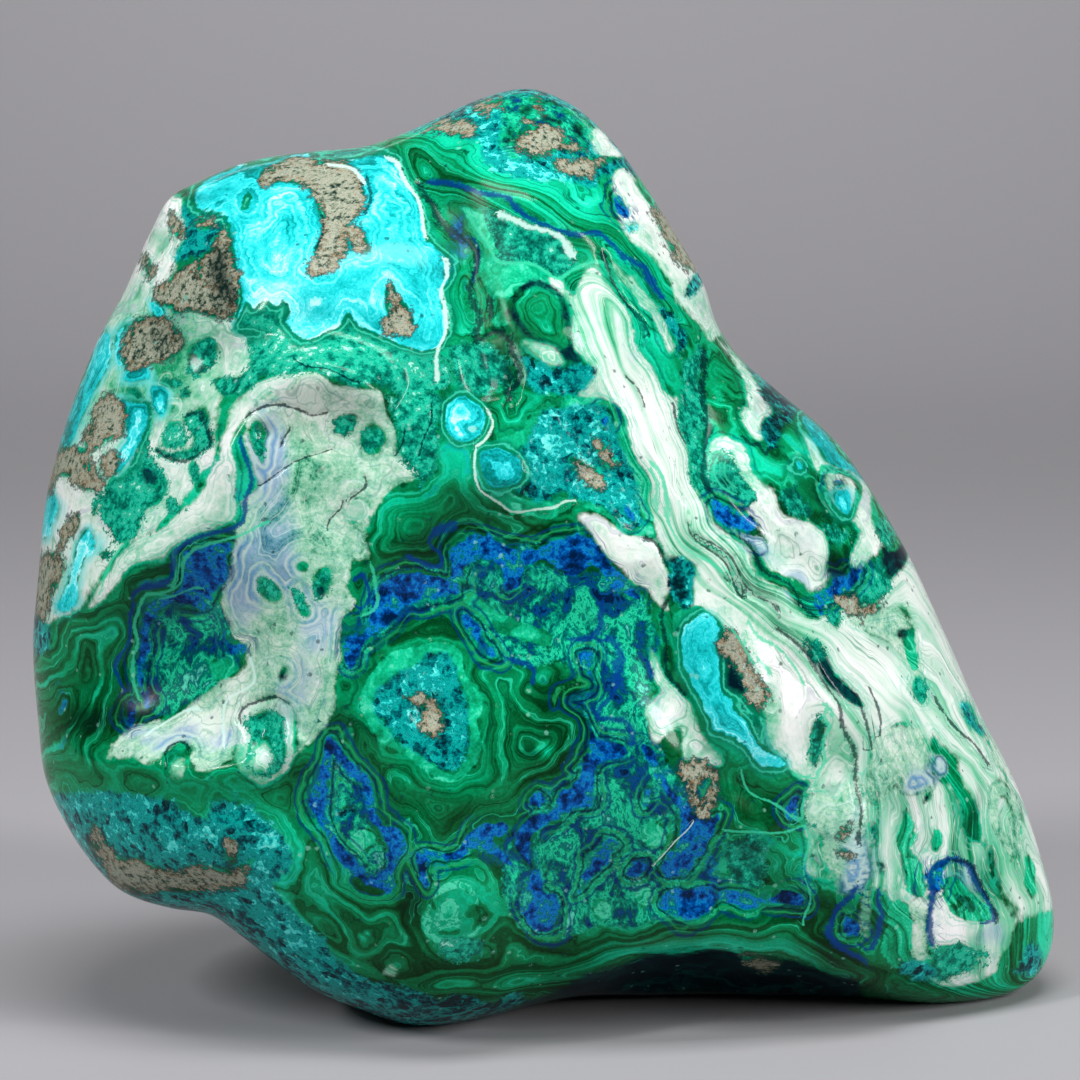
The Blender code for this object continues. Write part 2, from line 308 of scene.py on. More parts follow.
RIM_CURVE = closed_curve(*polar(np.array(RIM, float)))
BROAD_CURVE = smoothed(RIM_CURVE, math.radians(18))
SET_BACK_MARKS = np.array(RIM_SET_BACK, float)
SET_BACK = closed_curve(polar(SET_BACK_MARKS[:, :2])[0], SET_BACK_MARKS[:, 2])

# ---------------------------------------------------------------------------------------------
# Minerals of the face: rows of a kind and its shapes, each a closed outline or an oval (across,
# down, half width, half height, turn). A later one covers an earlier one. What nothing covers,
# and the kind "band", is banded malachite.
# ---------------------------------------------------------------------------------------------
KINDS = ("cyan", "rock", "pale", "azur", "teal", "mott", "clot", "mint", "veil", "deep")
PATCHES = [
    # pale flow-banded right flank, partly painted reflection: its glare is drawn as white in the
    # flow bands
    ("pale", [(548, 280), (562, 278), (575, 292), (590, 272), (604, 280), (616, 296), (630, 322),
     (645, 350), (656, 376), (672, 398), (688, 440), (697, 490), (712, 520), (740, 545),
     (775, 585), (815, 616), (850, 606), (895, 560), (925, 560), (970, 660), (1015, 760),
     (1050, 860), (1058, 915), (1020, 918), (1000, 960), (960, 985), (925, 975), (895, 945),
     (885, 900), (862, 905), (840, 880), (814, 870), (804, 836), (802, 800), (812, 780),
     (790, 770), (740, 720), (700, 660), (690, 610), (672, 570), (660, 548), (652, 520),
     (646, 480), (634, 445), (622, 410), (604, 402), (586, 396), (578, 392), (590, 370),
     (578, 352), (568, 340), (564, 312)]),
    # pale veil left of the middle, partly painted reflection: pale colour laid where the polish
    # shows a broad glare
    ("veil", [(290, 380), (312, 372), (332, 384), (360, 384), (385, 395), (392, 430), (396, 452),
     (410, 457), (414, 480), (392, 490), (376, 505), (368, 545), (368, 560), (350, 564),
     (345, 585), (352, 600), (340, 622), (340, 650), (334, 690), (324, 726), (300, 752),
     (282, 762), (268, 780), (256, 775), (240, 762), (210, 770), (196, 766), (182, 748),
     (160, 755), (140, 760), (105, 757), (120, 740), (150, 722), (185, 712), (208, 682),
     (240, 665), (250, 645), (228, 630), (224, 600), (228, 575), (240, 545), (232, 520),
     (250, 500), (258, 484), (250, 466), (246, 440), (247, 420), (262, 402)]),
    ("mott",
     [(258, 422), (266, 430), (266, 444), (262, 458), (256, 450), (252, 436)],
     (324, 582, 9, 14, 0)),
    ("deep", (326, 590, 4, 5, 0)),
    ("pale", (355, 512, 15, 13, 0)),
    ("mott", (345, 425, 12, 9, 20), (372, 440, 9, 12, 0), (300, 600, 6, 14, 40),
     (268, 590, 9, 14, 30)),
    ("mint", (302, 566, 5, 5, 0)),
    ("mott", (345, 668, 8, 7, 0)),
    ("deep", (286, 672, 3, 7, -20)),
    ("mott", [(394, 396), (412, 390), (442, 398), (442, 436), (428, 470), (420, 490), (416, 470),
     (400, 454), (394, 430)]),
    # upper left: lace of white and green with rock, under a pale ridge
    ("pale", [(186, 198), (180, 240), (176, 262), (200, 312), (240, 318), (262, 340), (284, 352),
     (284, 372), (250, 384), (226, 398), (212, 420), (214, 456), (200, 478), (180, 500),
     (160, 524), (140, 534), (120, 542), (108, 560), (96, 580), (80, 604), (62, 616), (44, 620),
     (30, 590), (36, 540), (48, 470), (80, 380), (98, 330), (124, 290), (144, 230), (158, 202)]),
    ("mott",
     [(186, 350), (200, 342), (208, 338), (216, 346), (214, 362), (206, 374), (196, 374),
      (188, 364)],
     [(218, 380), (232, 374), (242, 370), (256, 360), (270, 350), (278, 342), (292, 346),
      (292, 366), (272, 376), (252, 388), (232, 398), (222, 396)],
     [(236, 320), (252, 326), (262, 322), (276, 318), (290, 330), (282, 340), (266, 338),
      (252, 340), (244, 334)],
     [(136, 404), (146, 404), (148, 424), (152, 450), (160, 468), (166, 486), (160, 502),
      (148, 510), (140, 522), (132, 534), (118, 538), (108, 532), (106, 510), (104, 490),
      (104, 478), (118, 478), (126, 474), (132, 462), (138, 446), (142, 424)],
     [(190, 418), (206, 416), (212, 440), (206, 446), (196, 452), (184, 462), (170, 458),
      (160, 448), (174, 454), (186, 448), (192, 434)],
     [(170, 424), (184, 424), (188, 436), (180, 448), (168, 446), (164, 434)],
     (134, 396, 4, 7, 20), (172, 379, 10, 4, 0), (162, 398, 4, 8, 10), (184, 392, 4, 6, 0),
     (196, 474, 5, 12, 30), (176, 508, 5, 14, 35), (100, 505, 3, 14, 0), (106, 552, 6, 5, 0)),
    ("deep", (148, 474, 5, 10, 20)),
    ("cyan",
     [(104, 328), (112, 334), (108, 354), (101, 374), (92, 398), (84, 420), (76, 436), (62, 452),
      (56, 444), (66, 416), (78, 388), (88, 358)],
     [(122, 400), (132, 404), (142, 408), (142, 430), (136, 450), (130, 462), (118, 474),
      (114, 470), (122, 452), (128, 440), (124, 424)],
     [(150, 303), (160, 301), (168, 308), (166, 316), (154, 318)],
     [(128, 326), (122, 340), (120, 356), (124, 368), (118, 364), (115, 346), (120, 330)],
     [(130, 372), (146, 370), (150, 378), (140, 384), (128, 382)],
     [(150, 388), (166, 386), (170, 404), (160, 414), (150, 406)],
     [(44, 494), (52, 494), (52, 512), (46, 534), (38, 534)],
     [(84, 536), (92, 530), (96, 546), (86, 560), (80, 580), (76, 600), (62, 612), (58, 604),
      (66, 590), (72, 572), (76, 552)]),
    ("teal", [(28, 590), (40, 600), (44, 616), (48, 632), (44, 650), (30, 648)]),
    ("rock",
     (175, 226, 4, 14, 15), (146, 268, 3, 12, 5),
     [(130, 326), (140, 320), (156, 318), (170, 320), (178, 334), (178, 346), (170, 356),
      (156, 362), (146, 368), (132, 370), (124, 360), (124, 346)],
     [(96, 410), (108, 396), (120, 398), (124, 416), (120, 436), (108, 440), (100, 446), (90, 448),
      (88, 438), (94, 424)],
     [(56, 452), (80, 448), (90, 450), (88, 460), (92, 474), (96, 482), (84, 484), (70, 478),
      (58, 482), (50, 494), (42, 492), (48, 468)],
     [(100, 462), (112, 456), (118, 462), (112, 474), (102, 474)],
     [(66, 524), (76, 514), (80, 524), (76, 534), (64, 540), (60, 548), (60, 536)],
     [(40, 556), (56, 550), (62, 562), (62, 574), (56, 590), (48, 604), (46, 618), (36, 612),
      (32, 590)]),
    # pale band down the left ridge, partly painted highlight along its crest
    ("pale", [(292, 372), (264, 380), (244, 396), (226, 414), (222, 440), (220, 462), (212, 478),
     (196, 496), (176, 516), (160, 530), (138, 536), (124, 546), (116, 562), (104, 580), (88, 602),
     (96, 602), (112, 586), (130, 572), (150, 562), (176, 548), (196, 540), (214, 528), (230, 512),
     (237, 498), (236, 480), (233, 460), (231, 440), (237, 426), (250, 410), (266, 396),
     (290, 388)]),
    ("band", [(236, 452), (242, 470), (248, 492), (244, 512), (226, 528), (200, 544), (180, 554),
     (196, 540), (216, 528), (232, 512), (238, 494)]),
    # green strip under the shoulder
    ("mott", [(250, 342), (270, 318), (305, 305), (345, 304), (398, 338), (436, 352), (444, 386),
     (400, 392), (352, 384), (318, 374), (284, 374), (256, 380)]),
    # top knob
    ("teal", [(400, 132), (430, 118), (470, 100), (513, 82), (548, 80), (580, 98), (612, 132),
     (638, 172), (618, 182), (600, 180), (588, 188), (566, 181), (545, 181), (520, 176),
     (500, 172), (486, 156), (478, 141), (450, 138), (430, 134)]),
    ("pale", [(586, 132), (600, 128), (612, 144), (620, 156), (608, 158), (596, 152)]),
    ("clot", [(500, 104), (520, 98), (548, 104), (576, 110), (590, 124), (584, 140), (590, 156),
     (578, 158), (568, 146), (556, 130), (530, 128), (519, 140), (520, 156), (508, 158),
     (503, 136)]),
    ("deep", (512, 134, 4, 12, 0), (550, 119, 10, 4, -10), (578, 128, 4, 9, 10),
     (527, 112, 8, 3, 20)),
    ("rock",
     [(424, 133), (438, 127), (455, 121), (470, 122), (472, 132), (456, 134), (440, 133)],
     (484, 107, 9, 4, 10), (499, 105, 3, 5, 0), (541, 106, 2.5, 8, 0), (526, 122, 4, 3, 0),
     [(519, 142), (528, 131), (544, 127), (558, 130), (568, 138), (562, 148), (548, 153),
      (530, 153)],
     [(567, 146), (574, 142), (584, 147), (578, 151)],
     [(554, 162), (564, 161), (574, 165), (586, 160), (606, 158), (606, 164), (596, 170),
      (588, 177), (574, 174), (560, 171)]),
    ("teal", [(596, 172), (606, 166), (618, 164), (622, 172), (612, 178), (600, 180)]),
    # pale stripe right of the fan
    ("pale", [(618, 172), (632, 178), (648, 198), (662, 215), (684, 240), (704, 268), (714, 300),
     (724, 332), (712, 341), (700, 322), (686, 304), (668, 280), (650, 260), (636, 244),
     (626, 228), (622, 212), (616, 196), (611, 182)]),
    ("rock", [(650, 206), (664, 214), (682, 240), (694, 262), (686, 270), (672, 250), (660, 232)]),
    ("teal", (693, 284, 7, 14, -30)),
    ("azur", [(615, 197), (624, 198), (629, 208), (624, 214), (618, 206)]),
    ("teal", (633, 225, 4, 5, 0)),
    ("pale", [(613, 262), (630, 272), (648, 286), (662, 306), (670, 328), (660, 330), (644, 308),
     (628, 288)]),
    # cyan shoulder
    ("cyan", [(196, 190), (214, 180), (236, 170), (262, 162), (320, 150), (372, 152), (398, 168),
     (414, 198), (430, 236), (442, 252), (446, 276), (440, 294), (446, 318), (440, 348),
     (410, 344), (385, 338), (360, 324), (350, 312), (340, 328), (320, 333), (300, 334),
     (284, 322), (288, 308), (280, 302), (262, 334), (240, 326), (236, 300), (240, 266),
     (230, 240), (226, 218), (206, 208)]),
    ("mint", (248, 200, 4, 9, -20)),
    ("teal",
     [(310, 158), (322, 146), (366, 144), (380, 154), (352, 160), (330, 162)],
     [(188, 200), (202, 208), (226, 216), (228, 236), (218, 256), (200, 262), (176, 264),
      (178, 244), (184, 222)]),
    ("mott", [(244, 302), (256, 308), (268, 300), (276, 306), (284, 298), (288, 312), (284, 322),
     (300, 336), (290, 346), (270, 346), (254, 338), (238, 332), (236, 318)]),
    ("rock",
     [(202, 262), (212, 256), (216, 244), (220, 232), (227, 230), (230, 250), (238, 268),
      (238, 282), (232, 300), (228, 312), (218, 304), (208, 288), (202, 272)],
     (204, 222, 9, 4, 0),
     [(262, 170), (280, 161), (300, 157), (322, 160), (350, 164), (360, 182), (362, 202),
      (359, 218), (350, 230), (346, 246), (336, 262), (325, 269), (308, 271), (316, 257),
      (322, 243), (321, 224), (316, 204), (309, 191), (290, 184), (268, 181)],
     [(351, 230), (363, 234), (367, 248), (352, 247)],
     [(170, 270), (196, 265), (204, 272), (206, 284), (216, 292), (227, 300), (224, 311),
      (210, 316), (196, 313), (180, 313), (175, 304), (158, 300), (154, 288), (162, 278)],
     [(385, 289), (392, 287), (399, 300), (406, 312), (412, 322), (407, 333), (396, 331),
      (385, 335), (383, 322), (390, 312)]),
    # leaf, groove and button
    ("mott", [(462, 206), (480, 206), (500, 210), (520, 222), (545, 229), (565, 240), (584, 256),
     (575, 268), (560, 273), (530, 265), (505, 262), (497, 254), (485, 235), (472, 218)]),
    ("mint",
     [(462, 206), (480, 208), (488, 222), (494, 240), (500, 252), (488, 244), (478, 226),
      (468, 214)],
     [(480, 262), (500, 268), (520, 270), (530, 276), (545, 281), (522, 287), (510, 298),
      (505, 312), (507, 326), (498, 327), (490, 318), (496, 308), (498, 298), (490, 280)]),
    ("mott", [(448, 352), (470, 342), (490, 345), (506, 360), (508, 382), (496, 394), (470, 392),
     (452, 380)]),
    ("teal", [(520, 356), (540, 360), (560, 366), (578, 362), (592, 370), (590, 384), (576, 392),
     (550, 391), (530, 388), (521, 374)]),
    ("deep", [(528, 284), (545, 283), (561, 294), (570, 308), (571, 330), (574, 348), (584, 362),
     (566, 362), (545, 354), (528, 341), (513, 325), (509, 308), (516, 292)]),
    ("band", [(530, 290), (544, 288), (556, 295), (563, 308), (567, 325), (568, 343), (560, 351),
     (546, 345), (532, 334), (520, 320), (515, 306), (520, 296)]),
    ("pale",
     [(510, 342), (516, 345), (522, 360), (525, 375), (520, 384), (515, 378), (514, 362)],
     [(523, 344), (530, 341), (545, 346), (556, 354), (565, 362), (556, 367), (545, 363),
      (533, 355)]),
    # small eye
    ("mint", [(446, 396), (456, 391), (470, 396), (482, 404), (489, 420), (486, 440), (478, 449),
     (462, 450), (448, 442), (441, 426), (443, 410)]),
    ("cyan", [(450, 403), (462, 398), (474, 403), (481, 415), (480, 430), (472, 440), (458, 441),
     (449, 430), (446, 415)]),
    ("pale", (470, 426, 5, 6, 0)),
    # crystal pocket
    ("mint", [(475, 460), (480, 450), (495, 440), (520, 432), (535, 412), (548, 400), (565, 397),
     (585, 400), (605, 402), (618, 415), (628, 435), (638, 460), (648, 492), (655, 518),
     (653, 540), (640, 544), (622, 531), (605, 519), (590, 509), (572, 503), (560, 511),
     (545, 519), (528, 515), (508, 507), (490, 497), (478, 481)]),
    ("teal", [(514, 454), (530, 436), (540, 416), (552, 407), (575, 404), (600, 407), (611, 418),
     (620, 440), (630, 468), (640, 500), (644, 524), (632, 530), (616, 518), (600, 506),
     (580, 497), (560, 495), (545, 503), (520, 500), (506, 490), (510, 470)]),
    ("cyan", [(482, 465), (486, 455), (500, 450), (516, 456), (521, 470), (514, 486), (498, 490),
     (486, 482)]),
    ("rock",
     [(567, 461), (580, 464), (595, 471), (604, 484), (598, 489), (588, 481), (576, 472)],
     [(596, 440), (604, 445), (610, 458), (618, 466), (605, 467), (598, 454)]),
    ("azur", (604, 418, 4, 5, 0), (630, 511, 6, 11, 30)),
    # white spindle beside it
    ("pale", [(580, 515), (600, 518), (620, 530), (640, 540), (655, 550), (663, 565), (667, 582),
     (662, 600), (668, 614), (655, 602), (648, 588), (632, 575), (615, 560), (598, 545),
     (584, 530), (574, 519)]),
    ("teal", [(668, 560), (682, 560), (694, 566), (697, 582), (692, 600), (680, 607), (669, 592),
     (666, 572)]),
    # dark heart: azurite and malachite run through each other
    ("clot", [(352, 640), (366, 600), (380, 576), (450, 560), (456, 540), (500, 545), (560, 538),
     (600, 548), (640, 590), (652, 620), (656, 660), (650, 700), (655, 740), (690, 790),
     (716, 815), (706, 860), (700, 905), (680, 920), (640, 924), (600, 926), (572, 936),
     (548, 938), (524, 930), (508, 900), (500, 860), (512, 830), (540, 790), (580, 760),
     (592, 730), (566, 704), (580, 690), (560, 660), (530, 664), (500, 662), (480, 640),
     (462, 612), (440, 606), (404, 622), (376, 640), (358, 664)]),
    ("azur",
     [(344, 640), (352, 633), (366, 626), (372, 612), (376, 596), (384, 580), (400, 575),
      (430, 573), (448, 578), (450, 556), (452, 542), (470, 536), (500, 543), (530, 549),
      (552, 540), (566, 536), (590, 538), (602, 548), (612, 560), (626, 572), (638, 584),
      (640, 600), (622, 592), (606, 580), (590, 574), (572, 580), (560, 572), (548, 562),
      (536, 566), (524, 572), (520, 586), (504, 592), (500, 580), (498, 566), (486, 560),
      (474, 566), (468, 580), (464, 598), (440, 600), (420, 602), (404, 606), (396, 622),
      (376, 636), (360, 644), (350, 664), (342, 656)],
     [(464, 614), (474, 620), (482, 638), (492, 650), (496, 662), (484, 656), (472, 640),
      (464, 628)],
     [(582, 655), (594, 652), (600, 662), (592, 672), (590, 686), (580, 696), (572, 702),
      (582, 710), (590, 722), (592, 740), (586, 756), (576, 768), (572, 764), (580, 750),
      (584, 736), (582, 722), (572, 712), (562, 704), (572, 692), (580, 684), (582, 670)]),
    ("mint", [(466, 580), (478, 598), (498, 612), (524, 622), (548, 636), (544, 648), (520, 638),
     (494, 628), (472, 612), (460, 594)]),
    # rings under the middle
    ("azur",
     [(592, 748), (600, 740), (620, 742), (624, 756), (606, 760), (598, 770), (594, 786),
      (590, 806), (574, 806), (560, 818), (544, 826), (536, 836), (534, 860), (538, 878),
      (542, 896), (554, 900), (560, 914), (556, 930), (544, 932), (532, 924), (526, 906),
      (524, 890), (530, 876), (524, 860), (516, 846), (520, 824), (534, 816), (548, 814),
      (556, 806), (558, 792), (572, 784), (582, 776), (586, 758)],
     (538, 801, 9, 7, 0),
     [(640, 746), (650, 746), (658, 760), (664, 776), (676, 790), (684, 806), (690, 786),
      (692, 774), (700, 776), (698, 784), (690, 800), (694, 812), (712, 816), (722, 814),
      (712, 836), (702, 852), (690, 864), (676, 874), (662, 870), (668, 854), (676, 838),
      (680, 824), (678, 808), (668, 796), (660, 780), (648, 768), (642, 756)],
     [(660, 904), (672, 892), (690, 886), (706, 890), (716, 904), (700, 914), (680, 920),
      (664, 914)],
     (636, 868, 9, 6, 20), (647, 795, 5, 12, 0),
     [(620, 840), (606, 850), (604, 870), (590, 880), (576, 890), (588, 870), (592, 856),
      (604, 842)],
     [(424, 884), (420, 866), (426, 854), (444, 852), (456, 846), (470, 834), (490, 826),
      (510, 822), (508, 834), (496, 840), (506, 852), (510, 862), (490, 856), (470, 852),
      (456, 858), (440, 856), (428, 868)]),
    ("mint", (655, 838, 12, 12, 0), (646, 897, 9, 9, 0), (600, 910, 6, 10, 0)),
    # lens below the big eye
    ("azur", [(332, 736), (340, 744), (352, 762), (366, 772), (376, 790), (382, 810), (390, 828),
     (402, 840), (406, 852), (400, 862), (392, 872), (388, 890), (372, 888), (354, 878),
     (342, 862), (330, 842), (318, 826), (312, 812), (310, 796), (314, 780), (322, 764),
     (326, 748)]),
    ("clot", [(336, 756), (346, 772), (358, 784), (366, 802), (374, 826), (384, 848), (390, 862),
     (380, 870), (366, 870), (352, 858), (340, 842), (328, 828), (322, 808), (324, 788),
     (330, 770)]),
    ("teal", (344, 813, 14, 6, 30)),
    ("mint", (364, 842, 13, 7, 40)),
    # big eye in its malachite
    ("band", [(352, 690), (356, 668), (372, 646), (398, 628), (420, 612), (446, 606), (462, 618),
     (474, 640), (490, 658), (512, 662), (528, 664), (536, 676), (532, 690), (540, 700),
     (552, 694), (560, 676), (576, 672), (590, 686), (572, 702), (586, 716), (590, 736),
     (582, 760), (560, 780), (540, 796), (512, 820), (480, 826), (458, 840), (440, 850),
     (420, 838), (398, 816), (380, 800), (366, 778), (350, 750), (346, 716)]),
    ("mint", [(362, 702), (370, 672), (392, 656), (420, 648), (444, 644), (462, 656), (474, 684),
     (482, 710), (480, 744), (472, 766), (456, 778), (440, 780), (420, 768), (396, 752),
     (376, 736), (366, 720)]),
    ("teal", [(378, 706), (384, 688), (400, 672), (418, 664), (436, 656), (452, 662), (462, 680),
     (470, 704), (470, 736), (462, 752), (456, 768), (440, 766), (424, 756), (400, 742),
     (384, 726)]),
    ("rock", [(406, 699), (418, 693), (432, 699), (443, 714), (441, 731), (430, 733), (423, 722),
     (421, 709)]),
    # left hollow
    ("clot", [(160, 604), (190, 616), (206, 602), (220, 606), (234, 640), (228, 668), (214, 690),
     (196, 704), (170, 712), (150, 704), (144, 680), (148, 640)]),
    ("azur",
     [(235, 546), (225, 540), (200, 548), (185, 556), (182, 575), (176, 590), (160, 600),
      (150, 606), (144, 620), (142, 640), (136, 660), (140, 680), (142, 705), (148, 700),
      (147, 680), (144, 665), (148, 650), (150, 635), (155, 620), (165, 610), (180, 606),
      (194, 612), (204, 610), (212, 598), (218, 590), (224, 575), (225, 560)],
     (129, 714, 5, 14, 0),
     [(222, 618), (226, 635), (236, 640), (248, 643), (244, 650), (230, 648), (222, 636)]),
    ("mint", [(208, 662), (222, 658), (236, 650), (240, 660), (232, 672), (215, 680)]),
    # crystal-lined pit
    ("pale", [(244, 712), (262, 700), (286, 702), (296, 722), (291, 760), (262, 786), (240, 766),
     (235, 738)]),
    ("mott", [(250, 726), (268, 714), (282, 720), (286, 744), (277, 772), (260, 778), (248, 754)]),
    ("pale", (261, 756, 10, 17, 0), (175, 768, 8, 7, 0)),
    # green button by the lower rings
    ("mint", (452, 915, 30, 32, 0)),
    ("band", (452, 915, 23, 25, 0)),
    ("mint", (450, 917, 14, 16, 0)),
    ("mott", [(440, 940), (470, 936), (486, 944), (482, 958), (458, 962), (442, 956)]),
    # malachite block at the right of the rings
    ("band", [(718, 770), (758, 758), (786, 776), (804, 800), (804, 836), (814, 870), (820, 900),
     (790, 896), (740, 894), (712, 888), (708, 850), (722, 816)]),
    ("mott", (747, 862, 22, 26, 0)),
    ("azur", (739, 900, 18, 6, 0), (786, 900, 16, 6, 0), (796, 808, 7, 10, 0)),
    ("pale", [(648, 646), (656, 656), (662, 672), (676, 688), (692, 712), (706, 736), (722, 762),
     (712, 768), (700, 758), (690, 762), (682, 744), (676, 728), (666, 732), (660, 742),
     (652, 742), (648, 722), (644, 712), (656, 700), (664, 692), (656, 676), (650, 662)]),
    ("rock", [(684, 768), (700, 764), (714, 776), (716, 800), (706, 816), (696, 812), (690, 796)]),
    ("mott", (703, 790, 8, 12, 0)),
    # lower left granular skin and its rock
    ("teal", [(50, 800), (90, 790), (130, 798), (170, 800), (180, 815), (205, 820), (215, 800),
     (240, 800), (262, 815), (286, 840), (286, 870), (276, 890), (292, 905), (312, 930),
     (332, 955), (352, 970), (382, 985), (470, 1000), (520, 996), (520, 1020), (430, 1040),
     (330, 1014), (230, 950), (190, 926), (110, 902), (60, 842)]),
    ("rock",
     [(92, 826), (104, 848), (118, 860), (140, 861), (150, 867), (170, 871), (195, 865),
      (225, 869), (252, 865), (240, 882), (200, 892), (165, 892), (145, 895), (125, 887),
      (108, 870), (94, 852)],
     (231, 851, 4, 13, 0)),
    # underside: the near-black patch is painted shade where the stone turns under
    ("deep", [(500, 1022), (560, 988), (600, 970), (644, 957), (692, 950), (746, 954), (806, 964),
     (850, 978), (890, 1000), (906, 1020), (600, 1040)]),
    ("rock", [(742, 953), (765, 955), (778, 962), (762, 967)]),
    ("pale", (392, 972, 10, 6, 0)),
    # right shoulder
    ("pale", [(714, 328), (722, 340), (738, 360), (752, 378), (765, 398), (771, 412), (765, 426),
     (762, 441), (750, 441), (745, 425), (744, 405), (744, 390), (736, 370), (725, 352)]),
    ("mott", [(690, 350), (704, 345), (708, 360), (700, 375), (700, 395), (704, 420), (700, 440),
     (702, 460), (704, 480), (712, 500), (706, 505), (698, 490), (690, 465), (684, 440),
     (680, 415), (680, 395), (682, 375), (684, 360)]),
    ("band", [(604, 262), (622, 272), (640, 296), (656, 330), (668, 354), (680, 348), (690, 336),
     (706, 334), (694, 352), (684, 368), (682, 388), (674, 400), (664, 390), (654, 372),
     (644, 350), (630, 322), (616, 294)]),
    ("pale", [(640, 297), (650, 300), (664, 330), (670, 353), (660, 342), (650, 320)]),
    ("teal", [(662, 310), (676, 314), (685, 330), (683, 348), (674, 352), (668, 332)]),
    ("band", [(704, 362), (720, 351), (731, 364), (743, 380), (747, 398), (742, 414), (740, 434),
     (725, 439), (709, 434), (707, 415), (705, 400), (701, 385)]),
    ("pale", [(714, 437), (730, 448), (745, 460), (760, 478), (775, 490), (785, 510), (800, 520),
     (820, 532), (831, 545), (832, 565), (827, 582), (812, 590), (798, 582), (785, 575),
     (770, 560), (760, 545), (752, 522), (744, 508), (724, 498), (712, 476), (710, 452)]),
    ("mott", [(713, 450), (726, 456), (738, 468), (747, 483), (751, 500), (744, 509), (730, 501),
     (718, 491), (711, 474)]),
    ("pale", [(796, 524), (812, 528), (824, 544), (829, 556), (816, 549), (804, 541)]),
    ("azur", [(711, 503), (722, 507), (736, 517), (754, 519), (761, 530), (752, 540), (738, 534),
     (724, 524), (713, 514)]),
    ("veil", [(730, 526), (744, 534), (764, 538), (768, 550), (752, 549), (738, 539)]),
    ("band", [(736, 440), (745, 445), (765, 452), (778, 448), (782, 425), (800, 430), (812, 455),
     (818, 478), (822, 500), (832, 516), (846, 522), (858, 532), (858, 548), (851, 562),
     (845, 578), (832, 577), (829, 560), (831, 545), (820, 530), (804, 519), (789, 514),
     (784, 500), (774, 486), (760, 476), (748, 462)]),
    ("mott",
     [(780, 492), (796, 488), (806, 498), (814, 512), (806, 520), (792, 512)],
     [(822, 520), (840, 528), (850, 530), (848, 542), (834, 540), (826, 530)]),
    ("teal", [(763, 420), (774, 411), (790, 407), (796, 416), (785, 424), (782, 440), (775, 447),
     (766, 443), (760, 433)]),
    ("mint", (721, 397, 6, 6, 0), (792, 460, 5, 6, 0)),
    ("cyan", (796, 470, 4, 3, 0)),
    ("teal", [(744, 362), (764, 376), (786, 394), (806, 412), (790, 418), (772, 402), (756, 384)]),
    ("cyan", [(800, 416), (818, 428), (834, 444), (850, 462), (860, 478), (842, 465), (826, 452),
     (810, 440)]),
    ("pale", [(800, 430), (812, 442), (826, 458), (846, 466), (862, 486), (872, 508), (880, 534),
     (872, 552), (862, 570), (850, 590), (846, 580), (852, 562), (859, 546), (860, 531),
     (850, 520), (830, 512), (822, 496), (816, 474), (808, 452)]),
    ("mint", [(819, 471), (826, 462), (840, 465), (852, 478), (860, 495), (857, 514), (845, 521),
     (832, 514), (823, 500), (818, 485)]),
    ("pale", [(824, 475), (832, 468), (842, 473), (852, 486), (854, 504), (846, 514), (836, 508),
     (828, 494)]),
    ("cyan", [(832, 493), (842, 491), (850, 502), (848, 514), (840, 512), (834, 503)]),
    ("azur",
     (838, 482, 5, 4, 0),
     [(814, 600), (824, 590), (832, 580), (832, 572), (842, 576), (852, 568), (860, 576),
      (850, 589), (836, 597), (827, 602), (822, 614)]),
    ("mott", [(860, 576), (878, 560), (893, 566), (891, 586), (873, 601), (852, 604), (856, 591)]),
    ("rock", [(837, 597), (850, 598), (862, 605), (880, 602), (872, 613), (858, 617), (845, 609)]),
    ("deep", [(876, 545), (888, 548), (899, 539), (908, 552), (902, 570), (891, 580), (882, 566)]),
    ("mott",
     (886, 530, 8, 15, -20),
     [(826, 604), (836, 601), (843, 616), (838, 631), (830, 623)]),
    # long oval lens on the right
    ("mint", [(672, 622), (678, 610), (692, 604), (706, 606), (718, 616), (724, 640), (740, 690),
     (776, 730), (782, 752), (796, 770), (788, 778), (766, 770), (738, 754), (714, 731),
     (698, 708), (686, 682), (676, 652)]),
    ("pale", [(704, 606), (714, 598), (730, 602), (746, 610), (766, 630), (786, 652), (806, 676),
     (822, 698), (828, 714), (832, 728), (830, 742), (825, 756), (819, 772), (814, 783),
     (804, 781), (792, 775), (780, 766), (772, 748), (765, 730), (760, 714), (762, 702),
     (752, 680), (738, 655), (726, 632), (716, 618)]),
    ("mott", [(816, 716), (824, 720), (828, 734), (822, 748), (817, 760), (810, 764), (812, 742)]),
    ("cyan", [(683, 640), (686, 626), (694, 617), (704, 614), (715, 620), (718, 632), (714, 645),
     (714, 670), (716, 690), (724, 697), (738, 700), (746, 712), (758, 724), (768, 736),
     (775, 750), (786, 765), (776, 767), (760, 759), (742, 748), (724, 734), (708, 714),
     (696, 690), (687, 664)]),
    ("deep", [(716, 632), (722, 636), (719, 646), (722, 656), (732, 664), (742, 673), (748, 684),
     (747, 693), (738, 697), (724, 695), (717, 686), (714, 665), (713, 645)]),
    ("mott", [(742, 700), (750, 710), (760, 712), (763, 722), (769, 738), (774, 749), (764, 746),
     (752, 732), (742, 718), (737, 706)]),
    ("rock", [(722, 632), (732, 634), (742, 647), (751, 660), (758, 672), (765, 682), (771, 692),
     (769, 701), (760, 706), (757, 714), (750, 706), (746, 696), (750, 690), (744, 678),
     (736, 670), (727, 663), (716, 655), (715, 646), (722, 641)]),
    # down the flank
    ("deep", [(810, 648), (824, 655), (838, 668), (852, 688), (861, 707), (850, 703), (838, 691),
     (826, 677)]),
    ("mott", [(803, 639), (814, 643), (825, 654), (816, 662), (806, 652)]),
    ("veil",
     [(850, 618), (872, 610), (894, 604), (906, 614), (917, 634), (921, 656), (916, 676),
      (904, 664), (888, 646), (868, 632)],
     [(870, 745), (884, 732), (902, 724), (920, 736), (932, 752), (926, 768), (906, 776),
      (888, 792), (874, 806), (867, 780)],
